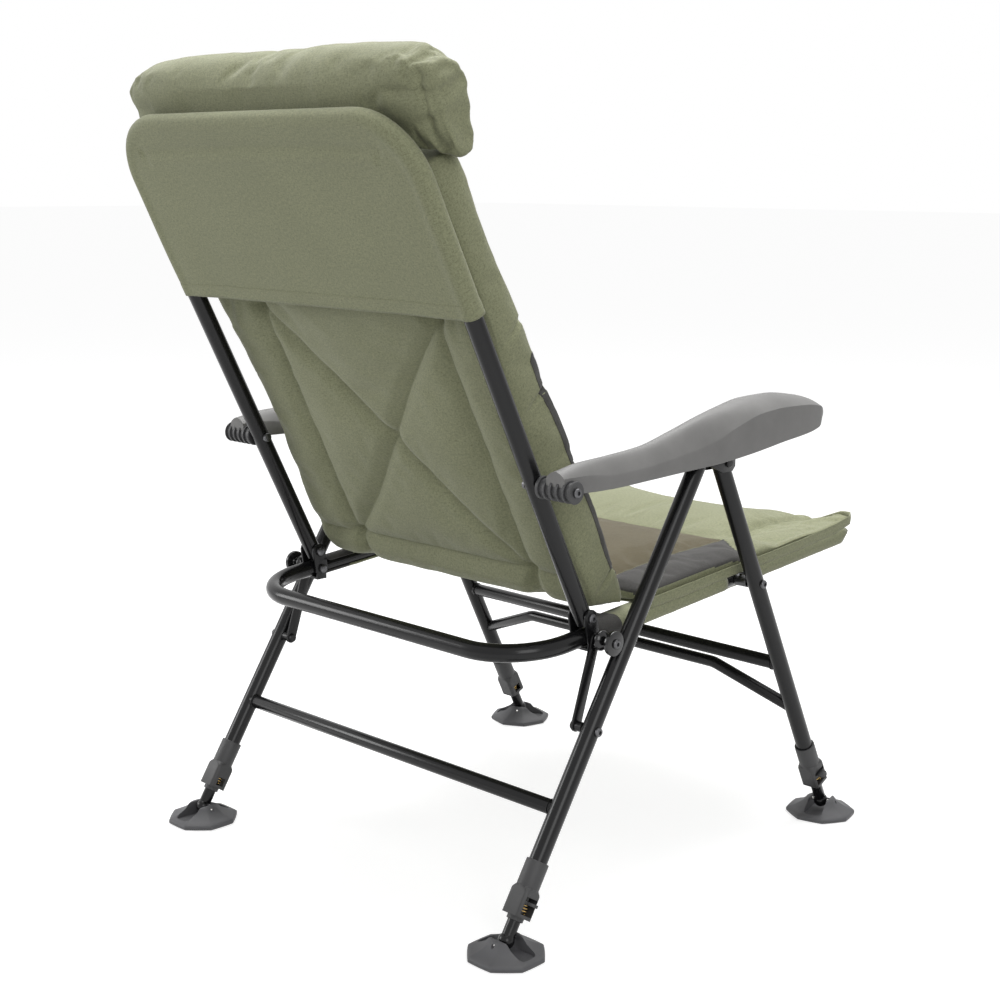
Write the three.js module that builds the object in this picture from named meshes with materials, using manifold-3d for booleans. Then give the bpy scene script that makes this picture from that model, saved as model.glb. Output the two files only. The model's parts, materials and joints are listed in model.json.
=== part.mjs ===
import * as THREE from 'three';
import { mergeVertices } from 'three/addons/utils/BufferGeometryUtils.js';
import Module from 'manifold-3d';

const wasm = await Module();
wasm.setup();

// A folding padded armchair for the bank. Millimetres, +Z up, the sitter faces -Y and the
// sitter's right is -X. Points of the linkage are given in the side view, as Y and Z.

// Fits that the pieces share
const gap = 0.3;
const cushionRest = 0.7;
const overrun = 5;
const boltRadius = 3;
const boreRadius = boltRadius + gap;
const headRadius = 5.6;
const headHeight = 3.4;
const nutRadius = 5.8;
const nutHeight = 4.6;
const socketRadius = 2.3;
const socketDepth = 2;

// Stance and linkage
const seatSpacing = 500;
const legOffset = 40;
const seatPivotHeight = 357.2;
const seatPivotAhead = 141;
const pivotBase = 288;
const backPivotUp = 1;
const pivotLink = 187.4;
const leanAngle = 26.8;
const rearLegAngle = 32.7;
const seatAngle = 4.8;
const rearTopBack = 35;
const rearTopUp = 15.5;
const footPivotHeight = 18.5;
const foldTravel = 80;

// Tubes
const mainRadius = 11;
const mainWall = 1.5;
const crossRadius = 9;
const lowCrossRadius = 8;
const crossWall = 1.2;
const legOverhang = 9;
const tubeSides = 12;
const bendSteps = 4;
const boltSides = 8;

// Seat frame, measured from the front seat pivot along the seat
const bowReach = 399;
const frontReach = 243;
const bowRadius = 82;
const plugLip = 3;
const plugSpigot = 12;
const plugEdgeShare = 0.8;

// Back frame, measured up the back from its pivot
const backHeight = 633;
const backCornerRadius = 64;
const backOverhang = 7.5;

// Cross tubes, measured down the legs from the seat pivot or from the top pivot
const upperCrossDrop = 135;
const lowerCrossDrop = 212;
const archDrop = 162;
const archInset = 118;
const archBendRadius = 30;
const rearCrossAlong = 462;
const strapWidth = 9;

// Hinge plates, link bars and the spool that the rear leg rests on
const plateThickness = 3;
const plateRadius = 10.5;
const webReach = 16;
const linkThickness = 4;
const linkRadius = 7.4;
const linkPivotAlong = 363;
const linkBossRadius = 6;
const spoolBallRadius = 12.6;
const spoolBallLength = 15.4;
const spoolNeckRadius = 5;
const spoolNeckLength = 8;
const rollerRadius = 15;
const rollerWidth = 6;
const rollerEdge = 1.2;
const rollerClearance = 0.4;
const spacerRadius = 8;

// Armrest: heights of its top and its lower edge, half widths and the place of its side
// crease, given at stations along its length
const armReach = 189;
const armRise = 76;
const armHalfWidth = 31;
const armWall = 3;
const armBossRadius = 13.2;
const armBossWall = 3.2;
const armBossLength = 52;
const armRibThickness = 2.4;
const armRibCount = 5;
const armGrooveShare = 1.02;
const armCrownPower = 2.4;
const bracketThickness = 2.5;
const bracketDrop = 11;
const bracketUp = 35;
const bracketAhead = 14;
const bracketBehind = 14;
const bracketSeatUp = 0.4;

// Leg collar and its latch, measured up the leg from the foot's ball
const rearShaftShow = 24;
const frontShaftShow = 31;
const ringRadius = 10;
const ringHeight = 5;
const blockSize = 27;
const blockHeight = 27;
const blockChamfer = 3;
const shoulderHeight = 8;
const sleeveRadius = 13.6;
const sleeveHeight = 31;
const notchBase = 4;
const notchHeight = 20.5;
const notchBack = 10.5;
const windowHeight = 11;
const latchThickness = 3.6;
const latchLift = 12.2;
const latchHalfWidth = 10;
const latchTab = 9.5;
const latchTabHalfWidth = 6;
const springWire = 0.8;
const springRadius = 9.1;
const springTurns = 3;

// Inner leg and foot
const innerRadius = 7.8;
const innerEndShare = 3;
const ballRadius = 9.8;
const footPinRadius = 2;
const footPinHalfLength = 20;
const pinBoreRadius = 3.5;
const slotHalfWidth = 12.8;
const slotHalfLength = 37;
const slotFloor = 6;
const padRadius = 47;
const padHeight = 23;

// Soft parts
const fabric = 1.8;
const slingRear = 273;
const slingSheetRear = 176;
const slingSag = 13;
const slingWindow = 24;
const cushionOverhang = 11;
const seatCushionRear = 183;
const seatCushionFront = 299;
const seatCushionThickness = 26;
const seatCushionCrown = 11;
const backCushionOverhang = 1;
const backCushionDrop = 63;
const backCushionFront = 95;
const backSeamDepth = 10;
const quiltInset = 92;
const quiltTop = 378;
const quiltBottom = 32;
const quiltWidth = 16;
const pillowOverhang = 25;
const pillowHeight = 122;
const pillowThickness = 78;
const pillowSetForward = 59;
const sleeveDrop = 227;
const sleeveDish = 4;

const degree = Math.PI / 180;
const sleeveOuter = mainRadius + gap + fabric;
const backCushionRear = sleeveOuter + cushionRest;
const sleeveBottom = backHeight - sleeveDrop;
const backCushionTop = backHeight - backCushionDrop;
const seatPlane = seatSpacing / 2;
const legPlane = seatPlane + legOffset;

const sidePoint = (y, z) => new THREE.Vector3(0, y, z);
const along = (from, lean, distance) =>
  sidePoint(from.y + distance * Math.sin(lean * degree), from.z + distance * Math.cos(lean * degree));

// Pivots of the folding linkage
const seatPivot = sidePoint(-seatPivotAhead, seatPivotHeight);
const backPivot = sidePoint(seatPivot.y + pivotBase, seatPivotHeight + backPivotUp);
const armFront = along(seatPivot, leanAngle, pivotLink);
const armRear = along(backPivot, leanAngle, pivotLink);
const rearTop = sidePoint(armFront.y + rearTopBack, armFront.z + rearTopUp);
const frontLegLength = (armFront.z - footPivotHeight) / Math.cos(leanAngle * degree);
const rearLegLength = (rearTop.z - footPivotHeight) / Math.cos(rearLegAngle * degree);
const innerLength = rearLegLength - linkPivotAlong - innerEndShare * nutRadius;
const frontBall = along(armFront, leanAngle, -frontLegLength);
const rearBall = along(rearTop, -rearLegAngle, -rearLegLength);
const linkFoot = along(rearTop, -rearLegAngle, -linkPivotAlong);
const seatDirection = sidePoint(Math.cos(seatAngle * degree), -Math.sin(seatAngle * degree));

// The spool's bolt sits on the seat tube, where its roller just touches the rear leg
const stopReach = (() => {
  const down = sidePoint(Math.sin(rearLegAngle * degree), -Math.cos(rearLegAngle * degree));
  const across = (p) => p.z * down.y - p.y * down.z;
  const target = mainRadius + rollerRadius + rollerClearance;
  const start = seatPivot.clone().sub(rearTop);
  return (target - across(start)) / across(seatDirection);
})();
const stopPoint = seatPivot.clone().addScaledVector(seatDirection, stopReach);

// Finishes
const finish = (color, roughness, metalness) =>
  new THREE.MeshStandardMaterial({ color, roughness, metalness });
const frameFinish = finish(0x1c1d1f, 0.3, 0.6);
const plateFinish = finish(0x232326, 0.4, 0.6);
const boltFinish = finish(0x6e6c68, 0.3, 1);
const pinFinish = finish(0xc9c6c0, 0.25, 1);
const brassFinish = finish(0xbfa05a, 0.35, 1);
const mouldedFinish = finish(0x464646, 0.55, 0);
const glossFinish = finish(0x1a1a1c, 0.2, 0);
const armFinish = finish(0x6d6c6a, 0.6, 0);
const greenFinish = finish(0x767a5e, 0.85, 0);

// Turns a geometry into an indexed mesh without doubled points or flat triangles, with its
// faces pointing out.
function tidy(source) {
  const bare = source.clone();
  bare.deleteAttribute('normal');
  bare.deleteAttribute('uv');
  const merged = mergeVertices(bare, 1e-4);
  const p = merged.attributes.position;
  const old = merged.index.array;
  const index = [];
  let volume = 0;
  const a = new THREE.Vector3();
  const b = new THREE.Vector3();
  const c = new THREE.Vector3();
  for (let i = 0; i < old.length; i += 3) {
    const [u, v, w] = [old[i], old[i + 1], old[i + 2]];
    if (u === v || v === w || w === u) continue;
    index.push(u, v, w);
    a.fromBufferAttribute(p, u);
    b.fromBufferAttribute(p, v);
    c.fromBufferAttribute(p, w);
    volume += a.dot(b.cross(c));
  }
  if (volume < 0) {
    for (let i = 0; i < index.length; i += 3) {
      [index[i + 1], index[i + 2]] = [index[i + 2], index[i + 1]];
    }
  }
  merged.setIndex(index);
  return merged;
}

function toSolid(geometry) {
  const clean = tidy(geometry);
  return new wasm.Manifold(new wasm.Mesh({
    numProp: 3,
    vertProperties: new Float32Array(clean.attributes.position.array),
    triVerts: new Uint32Array(clean.index.array),
  }));
}

function fromSolid(solid) {
  const mesh = solid.getMesh();
  const geometry = new THREE.BufferGeometry();
  geometry.setAttribute('position', new THREE.BufferAttribute(mesh.vertProperties, 3));
  geometry.setIndex(Array.from(mesh.triVerts));
  return geometry;
}

const joined = (geometries) =>
  fromSolid(geometries.map(toSolid).reduce((body, part) => body.add(part)));
const cutBy = (geometry, cutters) =>
  fromSolid(cutters.map(toSolid).reduce((body, part) => body.subtract(part), toSolid(geometry)));

// A path whose steps fall on chosen stations: a straight run takes one step and each bend
// takes a few.
class BentPath extends THREE.Curve {
  constructor(corners, radius, bendSteps) {
    super();
    this.stations = [corners[0]];
    this.tangents = [corners[1].clone().sub(corners[0]).normalize()];
    for (let k = 1; k < corners.length - 1; k += 1) {
      const before = corners[k].clone().sub(corners[k - 1]).normalize();
      const after = corners[k + 1].clone().sub(corners[k]).normalize();
      const turn = before.angleTo(after);
      const setback = radius * Math.tan(turn / 2);
      const side = after.clone().addScaledVector(before, -before.dot(after)).normalize();
      const centre = corners[k].clone().addScaledVector(before, -setback).addScaledVector(side, radius);
      for (let i = 0; i <= bendSteps; i += 1) {
        const t = (turn * i) / bendSteps;
        const tangent = before.clone().multiplyScalar(Math.cos(t)).addScaledVector(side, Math.sin(t));
        const out = before.clone().multiplyScalar(Math.sin(t)).addScaledVector(side, -Math.cos(t));
        this.stations.push(centre.clone().addScaledVector(out, radius));
        this.tangents.push(tangent);
      }
    }
    const last = corners.length - 1;
    this.stations.push(corners[last]);
    this.tangents.push(corners[last].clone().sub(corners[last - 1]).normalize());
  }

  get steps() {
    return this.stations.length - 1;
  }

  getPoint(t, target = new THREE.Vector3()) {
    return target.copy(this.stations[Math.round(t * this.steps)]);
  }

  getPointAt(t, target) {
    return this.getPoint(t, target);
  }

  getTangentAt(t, target = new THREE.Vector3()) {
    return target.copy(this.tangents[Math.round(t * this.steps)]);
  }
}

function circlePoints(radius, sides) {
  const points = [];
  for (let i = 0; i < sides; i += 1) {
    const t = (2 * Math.PI * i) / sides;
    points.push(new THREE.Vector2(radius * Math.cos(t), radius * Math.sin(t)));
  }
  return points;
}

// A round tube, or a bar where it has no wall, along a bent path
function tube(corners, radius, wall, bendRadius = radius, steps = bendSteps, sides = tubeSides) {
  const section = new THREE.Shape(circlePoints(radius, sides));
  if (wall) section.holes.push(new THREE.Path(circlePoints(radius - wall, sides).reverse()));
  const path = new BentPath(corners, bendRadius, steps);
  return new THREE.ExtrudeGeometry(section, { steps: path.steps, extrudePath: path });
}

// A straight round bar between two points, used to drill and to cope
const bar = (from, to, radius, sides = tubeSides) => tube([from, to], radius, 0, radius, 1, sides);

const atX = (point, x) => new THREE.Vector3(x, point.y, point.z);

const drill = (point, radius = boreRadius) =>
  bar(atX(point, -2 * legPlane), atX(point, 2 * legPlane), radius, 12);

// A body turned on the X axis through a point of the side view. The profile lists radius
// and distance from the middle plane of the chair.
function turned(profile, point, side, sides = tubeSides) {
  const outline = profile.map(([radius, x]) => new THREE.Vector2(radius, side * x));
  const geometry = new THREE.LatheGeometry(outline, sides);
  geometry.rotateZ(-Math.PI / 2);
  geometry.translate(0, point.y, point.z);
  return tidy(geometry);
}

// A bolt on the X axis: nut inside, button head with its socket outside
function bolt(point, side, nutEnd, headStart) {
  const nutStart = nutEnd - nutHeight;
  const headEnd = headStart + headHeight;
  return turned([
    [0, nutStart],
    [nutRadius, nutStart],
    [nutRadius, nutEnd],
    [boltRadius, nutEnd],
    [boltRadius, headStart],
    [headRadius, headStart],
    [headRadius, headEnd - headHeight / 3],
    [headRadius - headHeight / 3, headEnd],
    [socketRadius, headEnd],
    [socketRadius, headEnd - socketDepth],
    [0, headEnd - socketDepth],
  ], point, side, boltSides);
}

// A flat plate in the side view, given by its outline in Y and Z
const sideways = new THREE.Matrix4().makeBasis(
  new THREE.Vector3(0, 1, 0),
  new THREE.Vector3(0, 0, 1),
  new THREE.Vector3(1, 0, 0),
);
function sidePlate(shape, inner, thickness, side) {
  const geometry = new THREE.ExtrudeGeometry(shape, { depth: thickness, bevelEnabled: false, curveSegments: 4 });
  geometry.applyMatrix4(sideways);
  geometry.translate(side > 0 ? inner : -inner - thickness, 0, 0);
  return geometry;
}

// The outline round two circles of one radius
function stadium(a, b, radius) {
  const heading = Math.atan2(b.z - a.z, b.y - a.y);
  const shape = new THREE.Shape();
  shape.absarc(b.y, b.z, radius, heading - Math.PI / 2, heading + Math.PI / 2, false);
  shape.absarc(a.y, a.z, radius, heading + Math.PI / 2, heading + 1.5 * Math.PI, false);
  return shape;
}

// A closed body through rings with as many points each, closed to a middle point at its ends
function loft(rings) {
  const count = rings[0].length;
  const positions = rings.flat().flatMap((p) => [p.x, p.y, p.z]);
  const index = [];
  for (let k = 0; k < rings.length - 1; k += 1) {
    for (let i = 0; i < count; i += 1) {
      const a = k * count + i;
      const b = k * count + ((i + 1) % count);
      index.push(a, b, b + count, a, b + count, a + count);
    }
  }
  for (const k of [0, rings.length - 1]) {
    const middle = rings[k].reduce((sum, p) => sum.add(p), new THREE.Vector3()).divideScalar(count);
    positions.push(middle.x, middle.y, middle.z);
    const m = positions.length / 3 - 1;
    for (let i = 0; i < count; i += 1) {
      const a = k * count + i;
      const b = k * count + ((i + 1) % count);
      if (k === 0) index.push(m, b, a);
      else index.push(m, a, b);
    }
  }
  const geometry = new THREE.BufferGeometry();
  geometry.setAttribute('position', new THREE.Float32BufferAttribute(positions, 3));
  geometry.setIndex(index);
  return tidy(geometry);
}

// A smooth value between the entries of a table of [place, value] shares
function fromShares(table, place) {
  if (place <= table[0][0]) return table[0][1];
  for (let k = 1; k < table.length; k += 1) {
    if (place <= table[k][0]) {
      const t = (place - table[k - 1][0]) / (table[k][0] - table[k - 1][0]);
      const s = t * t * (3 - 2 * t);
      return table[k - 1][1] + s * (table[k][1] - table[k - 1][1]);
    }
  }
  return table[table.length - 1][1];
}

const chair = new THREE.Group();

function addPiece(group, name, geometry, material) {
  const mesh = new THREE.Mesh(geometry, material);
  mesh.name = name;
  group.add(mesh);
  return mesh;
}

const sides = [['right', -1], ['left', 1]];

const seat = new THREE.Group();
seat.position.copy(seatPivot);
seat.rotation.x = -seatAngle * degree;
chair.add(seat);

const back = new THREE.Group();
back.position.copy(backPivot);
back.rotation.x = -leanAngle * degree;
chair.add(back);

// Seat frame: one tube bent round the rear, open in front and drilled for its bolts
const seatPath = (from) => [
  new THREE.Vector3(-seatPlane, from, 0),
  new THREE.Vector3(-seatPlane, bowReach, 0),
  new THREE.Vector3(seatPlane, bowReach, 0),
  new THREE.Vector3(seatPlane, from, 0),
];
const seatFrame = () => cutBy(
  tube(seatPath(-frontReach), mainRadius, mainWall, bowRadius, 2 * bendSteps),
  [drill(sidePoint(0, 0)), drill(sidePoint(stopReach, 0))],
);
addPiece(seat, 'seat_frame', seatFrame(), frameFinish);

// Plugs in the open ends of the seat frame
function seatPlug(side) {
  const spigotRadius = mainRadius - mainWall - gap;
  const profile = [
    [0, -frontReach + plugSpigot],
    [spigotRadius, -frontReach + plugSpigot],
    [spigotRadius, -frontReach - gap],
    [mainRadius, -frontReach - gap],
    [mainRadius, -frontReach - gap - plugLip / 2],
    [mainRadius * plugEdgeShare, -frontReach - gap - plugLip],
    [0, -frontReach - gap - plugLip],
  ];
  const plug = new THREE.LatheGeometry(profile.map(([r, y]) => new THREE.Vector2(r, y)), tubeSides);
  return tidy(plug.translate(side * seatPlane, 0, 0));
}
for (const [word, side] of sides) {
  addPiece(seat, `seat_plug_${word}`, seatPlug(side), mouldedFinish);
}

// Sling: a sleeve on each seat tube with the sagging sheet between
function slingHeight(x) {
  const acrossShare = 1 - (x / seatPlane) ** 2;
  return sleeveOuter - fabric / 2 - slingSag * acrossShare;
}
function slingSheet() {
  const steps = 4;
  const columns = 14;
  const rings = [];
  for (let k = 0; k <= steps; k += 1) {
    const y = -frontReach + ((slingSheetRear + frontReach) * k) / steps;
    const top = [];
    const bottom = [];
    for (let i = 0; i <= columns; i += 1) {
      const x = seatPlane * ((2 * i) / columns - 1);
      const z = slingHeight(x);
      top.push(new THREE.Vector3(x, y, z + fabric / 2));
      bottom.unshift(new THREE.Vector3(x, y, z - fabric / 2));
    }
    rings.push([...top, ...bottom]);
  }
  return loft(rings);
}
function seatSling() {
  const sideSleeve = (side) => bar(
    new THREE.Vector3(side * seatPlane, -frontReach, 0),
    new THREE.Vector3(side * seatPlane, slingRear, 0),
    sleeveOuter,
  );
  const tubeSpace = (side) => bar(
    new THREE.Vector3(side * seatPlane, -frontReach - overrun, 0),
    new THREE.Vector3(side * seatPlane, slingRear + overrun, 0),
    mainRadius + gap,
  );
  const window = (side) => new THREE.BoxGeometry(2 * mainRadius, 2 * slingWindow, 2 * sleeveOuter + overrun)
    .translate(side * (seatPlane + mainRadius / 3 + mainRadius), 0, -mainRadius / 2);
  const boltSpace = (side) => bar(
    new THREE.Vector3(side * (seatPlane - 2 * mainRadius), 0, 0),
    new THREE.Vector3(side * (seatPlane + 2 * mainRadius), 0, 0),
    spacerRadius + gap,
  );
  const body = joined([slingSheet(), sideSleeve(1), sideSleeve(-1)]);
  return cutBy(body, [tubeSpace(1), tubeSpace(-1), window(1), window(-1), boltSpace(1), boltSpace(-1)]);
}
addPiece(seat, 'seat_sling', seatSling(), greenFinish);

// Seat cushion: a crowned pad that lies on the sling, with a bolster across its front
const seatCrownShares = [[0, 0.36], [0.04, 0.54], [0.12, 0.68], [0.3, 0.76], [0.42, 0.62], [0.47, 0.82],
  [0.8, 0.95], [0.97, 0.9], [1, 0.6]];
const seatSwellShare = 1.9;
const seatNarrowShare = 0.06;
const seatWaistShare = 0.012;
const seatEdgeShare = 0.52;
const seatLiftShare = 0.12;
const seatLeastShare = 0.3;
function seatCushion() {
  const steps = 20;
  const columns = 16;
  const rings = [];
  const length = seatCushionRear + seatCushionFront;
  for (let k = 0; k <= steps; k += 1) {
    const share = 0.5 - 0.5 * Math.cos((Math.PI * k) / steps);
    const y = -seatCushionFront + length * share;
    const middle = Math.sin(Math.PI * share);
    const ends = Math.min(1, Math.sqrt(middle) * seatSwellShare);
    const widthShare = 1 - seatNarrowShare * (1 - ends) - seatWaistShare * middle;
    const half = (seatPlane + cushionOverhang) * widthShare;
    const top = [];
    const bottom = [];
    for (let i = 0; i <= columns; i += 1) {
      const u = Math.sin((Math.PI / 2) * ((2 * i) / columns - 1));
      const x = half * u;
      const base = slingHeight(Math.min(Math.abs(x), seatPlane)) + fabric / 2 + cushionRest;
      const edge = Math.sqrt(Math.max(0, 1 - Math.abs(u) ** 6));
      const seamEdge = seatEdgeShare + (1 - seatEdgeShare) * edge;
      const crown = seatCushionCrown * (1 - u ** 2) * ends;
      const height = (seatCushionThickness * seamEdge + crown) * fromShares(seatCrownShares, share);
      const inside = Math.abs(u) < 1 && share > 0 && share < 1;
      const lift = inside ? 0 : seatCushionThickness * seatLiftShare;
      const crest = base + lift + Math.max(height, seatCushionThickness * seatLeastShare);
      bottom.unshift(new THREE.Vector3(x, y, base + lift));
      top.push(new THREE.Vector3(x, y, crest));
    }
    rings.push([...top, ...bottom]);
  }
  return loft(rings);
}
addPiece(seat, 'seat_cushion', seatCushion(), greenFinish);

// Back frame: one tube bent into an upturned U, drilled for the back pivots and the arms
function backFrame() {
  const hoop = tube([
    new THREE.Vector3(-seatPlane, 0, -backOverhang),
    new THREE.Vector3(-seatPlane, 0, backHeight),
    new THREE.Vector3(seatPlane, 0, backHeight),
    new THREE.Vector3(seatPlane, 0, -backOverhang),
  ], mainRadius, mainWall, backCornerRadius);
  return cutBy(hoop, [drill(sidePoint(0, 0)), drill(sidePoint(0, pivotLink))]);
}
addPiece(back, 'back_frame', backFrame(), frameFinish);

// Back sleeve: the pocket pulled over the top of the back frame, open below
const sleeveCornerShare = 0.22;
const sleeveEdgeShare = 2 / 7;
const sleeveTopShare = 0.02;
const signedPower = (value, exponent) => Math.sign(value) * Math.abs(value) ** exponent;
function backSleeve() {
  const halfTop = seatPlane + sleeveOuter;
  const corner = backCornerRadius + sleeveOuter;
  const top = backHeight + sleeveOuter;
  const steps = 8;
  const count = 36;
  const rings = [];
  for (let k = 0; k <= steps; k += 1) {
    const t = k / steps;
    const z = k === 0 ? sleeveBottom : top - corner * (1 - Math.sin((Math.PI / 2) * ((k - 1) / (steps - 1))));
    const rise = Math.max(0, z - (top - corner));
    const half = halfTop - corner + Math.sqrt(Math.max(0, corner ** 2 - rise ** 2));
    const depth = sleeveOuter * Math.sqrt(Math.max(sleeveTopShare, 1 - t ** 14));
    const ring = [];
    for (let i = 0; i < count; i += 1) {
      const a = (2 * Math.PI * i) / count;
      const x = (half - (k === steps ? sleeveOuter : 0)) * signedPower(Math.cos(a), sleeveCornerShare);
      const dish = sleeveDish * Math.min(1, Math.max(0, 3 - (3 * Math.abs(x)) / (seatPlane - sleeveOuter)));
      const rearDish = Math.sin(a) > 0 ? dish * (1 - t ** 0.5) : 0;
      ring.push(new THREE.Vector3(x, (depth - rearDish) * signedPower(Math.sin(a), sleeveEdgeShare), z));
    }
    rings.push(ring);
  }
  const low = sleeveBottom - overrun;
  const tubeSpace = tube([
    new THREE.Vector3(-seatPlane, 0, low),
    new THREE.Vector3(-seatPlane, 0, backHeight),
    new THREE.Vector3(seatPlane, 0, backHeight),
    new THREE.Vector3(seatPlane, 0, low),
  ], mainRadius + gap, 0, backCornerRadius);
  const flatHalf = sleeveOuter - sleeveDish - fabric;
  const flatSpace = new THREE.BoxGeometry(2 * seatPlane, 2 * flatHalf, backHeight - low)
    .translate(0, 0, (backHeight + low) / 2);
  return cutBy(loft(rings), [tubeSpace, flatSpace]);
}
addPiece(back, 'back_sleeve', backSleeve(), greenFinish);

// Back cushion: a long quilted pad in front of the back frame, its underside cut to the seat
const backFrontShares = [[0, 1], [0.08, 0.95], [0.115, 0.91], [0.18, 0.95], [0.24, 0.98], [0.326, 0.97],
  [0.356, 0.88], [0.387, 0.99], [0.45, 1], [0.5, 0.98], [0.527, 0.88], [0.558, 0.97], [0.62, 0.88],
  [0.7, 0.8], [0.78, 0.74], [0.876, 0.7], [0.952, 0.76], [1, 0.8]];
const lineDistance = (x, z, x0, z0, x1, z1) => {
  const t = THREE.MathUtils.clamp(
    ((x - x0) * (x1 - x0) + (z - z0) * (z1 - z0)) / ((x1 - x0) ** 2 + (z1 - z0) ** 2), 0, 1);
  return Math.hypot(x - x0 - t * (x1 - x0), z - z0 - t * (z1 - z0));
};
function quiltDip(x, z) {
  const reach = seatPlane - quiltInset;
  const middle = (quiltTop + quiltBottom) / 2;
  const lines = [
    [-reach, quiltBottom, -reach, quiltTop],
    [reach, quiltBottom, reach, quiltTop],
    [-reach, quiltTop, 0, middle],
    [reach, quiltTop, 0, middle],
    [-reach, quiltBottom, 0, middle],
    [reach, quiltBottom, 0, middle],
    [-reach, quiltBottom, reach, quiltBottom],
  ];
  const nearest = Math.min(...lines.map((line) => lineDistance(x, z, ...line)));
  return backSeamDepth * Math.exp(-((nearest / quiltWidth) ** 2));
}
const backSwellShare = 2.1;
const backEndShare = 0.001;
const backThinShare = 0.45;
const backNarrowShare = 0.97;
const backSideShare = 0.3;
const backFaceShare = 0.4;
const undersideShare = 0.62;
function backCushion() {
  const steps = 26;
  const count = 40;
  const rings = [];
  const lowRear = -3 * fabric;
  for (let k = 0; k <= steps; k += 1) {
    const share = k / steps;
    const inner = THREE.MathUtils.clamp(share, backEndShare, 1 - backEndShare);
    const ends = Math.min(1, Math.sqrt(Math.sin(Math.PI * inner)) * backSwellShare);
    const shrink = backThinShare + (1 - backThinShare) * ends;
    const front = backCushionFront * fromShares(backFrontShares, share);
    const middle = -(front + backCushionRear) / 2;
    const halfDepth = ((front - backCushionRear) / 2) * shrink;
    const widthShare = backNarrowShare + (1 - backNarrowShare) * ends;
    const half = (seatPlane + backCushionOverhang) * widthShare - 4 * fabric * Math.sin(Math.PI * share);
    const ring = [];
    for (let i = 0; i < count; i += 1) {
      const a = (2 * Math.PI * i) / count;
      const x = half * signedPower(Math.cos(a), backSideShare);
      let y = middle + halfDepth * signedPower(Math.sin(a), backFaceShare);
      const low = lowRear + undersideShare * Math.min(0, y + backCushionRear);
      const z = low + (backCushionTop - low) * share;
      if (Math.sin(a) > backFaceShare) y -= quiltDip(x, z) * ends;
      ring.push(new THREE.Vector3(x, y, z));
    }
    rings.push(ring);
  }
  return loft(rings);
}
addPiece(back, 'back_cushion', backCushion(), greenFinish);

// Head pillow: a thick roll across the top of the back
const pillowLeastShare = 0.45;
const pillowThinShare = 0.55;
const pillowRoundShare = 0.4;
const pillowSectionShare = 0.6;
function headPillow() {
  const steps = 22;
  const count = 24;
  const rings = [];
  const low = backCushionTop + gap;
  for (let k = 0; k <= steps; k += 1) {
    const u = -Math.cos((Math.PI * k) / steps);
    const ends = Math.max(pillowLeastShare, (1 - Math.abs(u) ** 5) ** pillowRoundShare);
    const tall = pillowThinShare + (1 - pillowThinShare) * ends;
    const ring = [];
    for (let i = 0; i < count; i += 1) {
      const a = (2 * Math.PI * i) / count;
      const c = signedPower(Math.cos(a), pillowSectionShare);
      const s = signedPower(Math.sin(a), pillowSectionShare);
      ring.push(new THREE.Vector3(
        (seatPlane + pillowOverhang) * u,
        -pillowSetForward + (pillowThickness / 2) * c * ends,
        low + (pillowHeight / 2) * (1 + s * tall),
      ));
    }
    rings.push(ring);
  }
  return loft(rings);
}
addPiece(back, 'head_pillow', headPillow(), greenFinish);

// Hinge brackets, each a channel round both tubes, with their bolts and the spool
const hingeInner = seatPlane - mainRadius - gap - plateThickness;
const hingeOuter = seatPlane + mainRadius + gap;
const linkInner = hingeOuter + plateThickness + gap;
const spoolInner = linkInner + linkThickness + gap;
const spoolOuter = spoolInner + spoolBallLength + spoolNeckLength + rollerWidth;
function hingeBracket(side) {
  const webHigh = stopPoint.z - mainRadius - 3 * gap;
  const webLow = webHigh - plateThickness;
  const plates = [hingeInner, hingeOuter].flatMap((inner) => {
    const ear = new THREE.BoxGeometry(plateThickness, webReach, stopPoint.z - webLow)
      .translate(side * (inner + plateThickness / 2), stopPoint.y, (stopPoint.z + webLow) / 2);
    return [sidePlate(stadium(stopPoint, backPivot, plateRadius), inner, plateThickness, side), ear];
  });
  const web = new THREE.BoxGeometry(hingeOuter - hingeInner, webReach, plateThickness)
    .translate(side * (hingeInner + hingeOuter + plateThickness) / 2, stopPoint.y, (webHigh + webLow) / 2);
  return cutBy(joined([...plates, web]), [drill(stopPoint), drill(backPivot)]);
}
const spoolEndShare = 0.12;
function stopSpool(side) {
  const ballEnd = spoolInner + spoolBallLength;
  const rollerStart = ballEnd + spoolNeckLength;
  const profile = [[boreRadius, spoolInner]];
  const ballSteps = 6;
  for (let i = 0; i <= ballSteps; i += 1) {
    const t = Math.PI * (spoolEndShare + ((1 - 2 * spoolEndShare) * i) / ballSteps);
    profile.push([spoolBallRadius * Math.sin(t), spoolInner + (spoolBallLength * i) / ballSteps]);
  }
  profile.push(
    [spoolNeckRadius, ballEnd],
    [spoolNeckRadius, rollerStart],
    [rollerRadius - rollerEdge, rollerStart],
    [rollerRadius, rollerStart + rollerEdge],
    [rollerRadius, spoolOuter - rollerEdge],
    [rollerRadius - rollerEdge, spoolOuter],
    [boreRadius, spoolOuter],
    [boreRadius, spoolInner],
  );
  return turned(profile, stopPoint, side);
}
function frontPivotBolt(side) {
  const spacerStart = hingeOuter;
  const spacerEnd = legPlane - mainRadius - gap;
  const headStart = legPlane + mainRadius + gap;
  const nutEnd = seatPlane - mainRadius - gap;
  const spacer = turned([
    [0, spacerStart],
    [spacerRadius, spacerStart],
    [spacerRadius, spacerEnd],
    [0, spacerEnd],
  ], seatPivot, side);
  return joined([bolt(seatPivot, side, nutEnd, headStart), spacer]);
}
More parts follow.
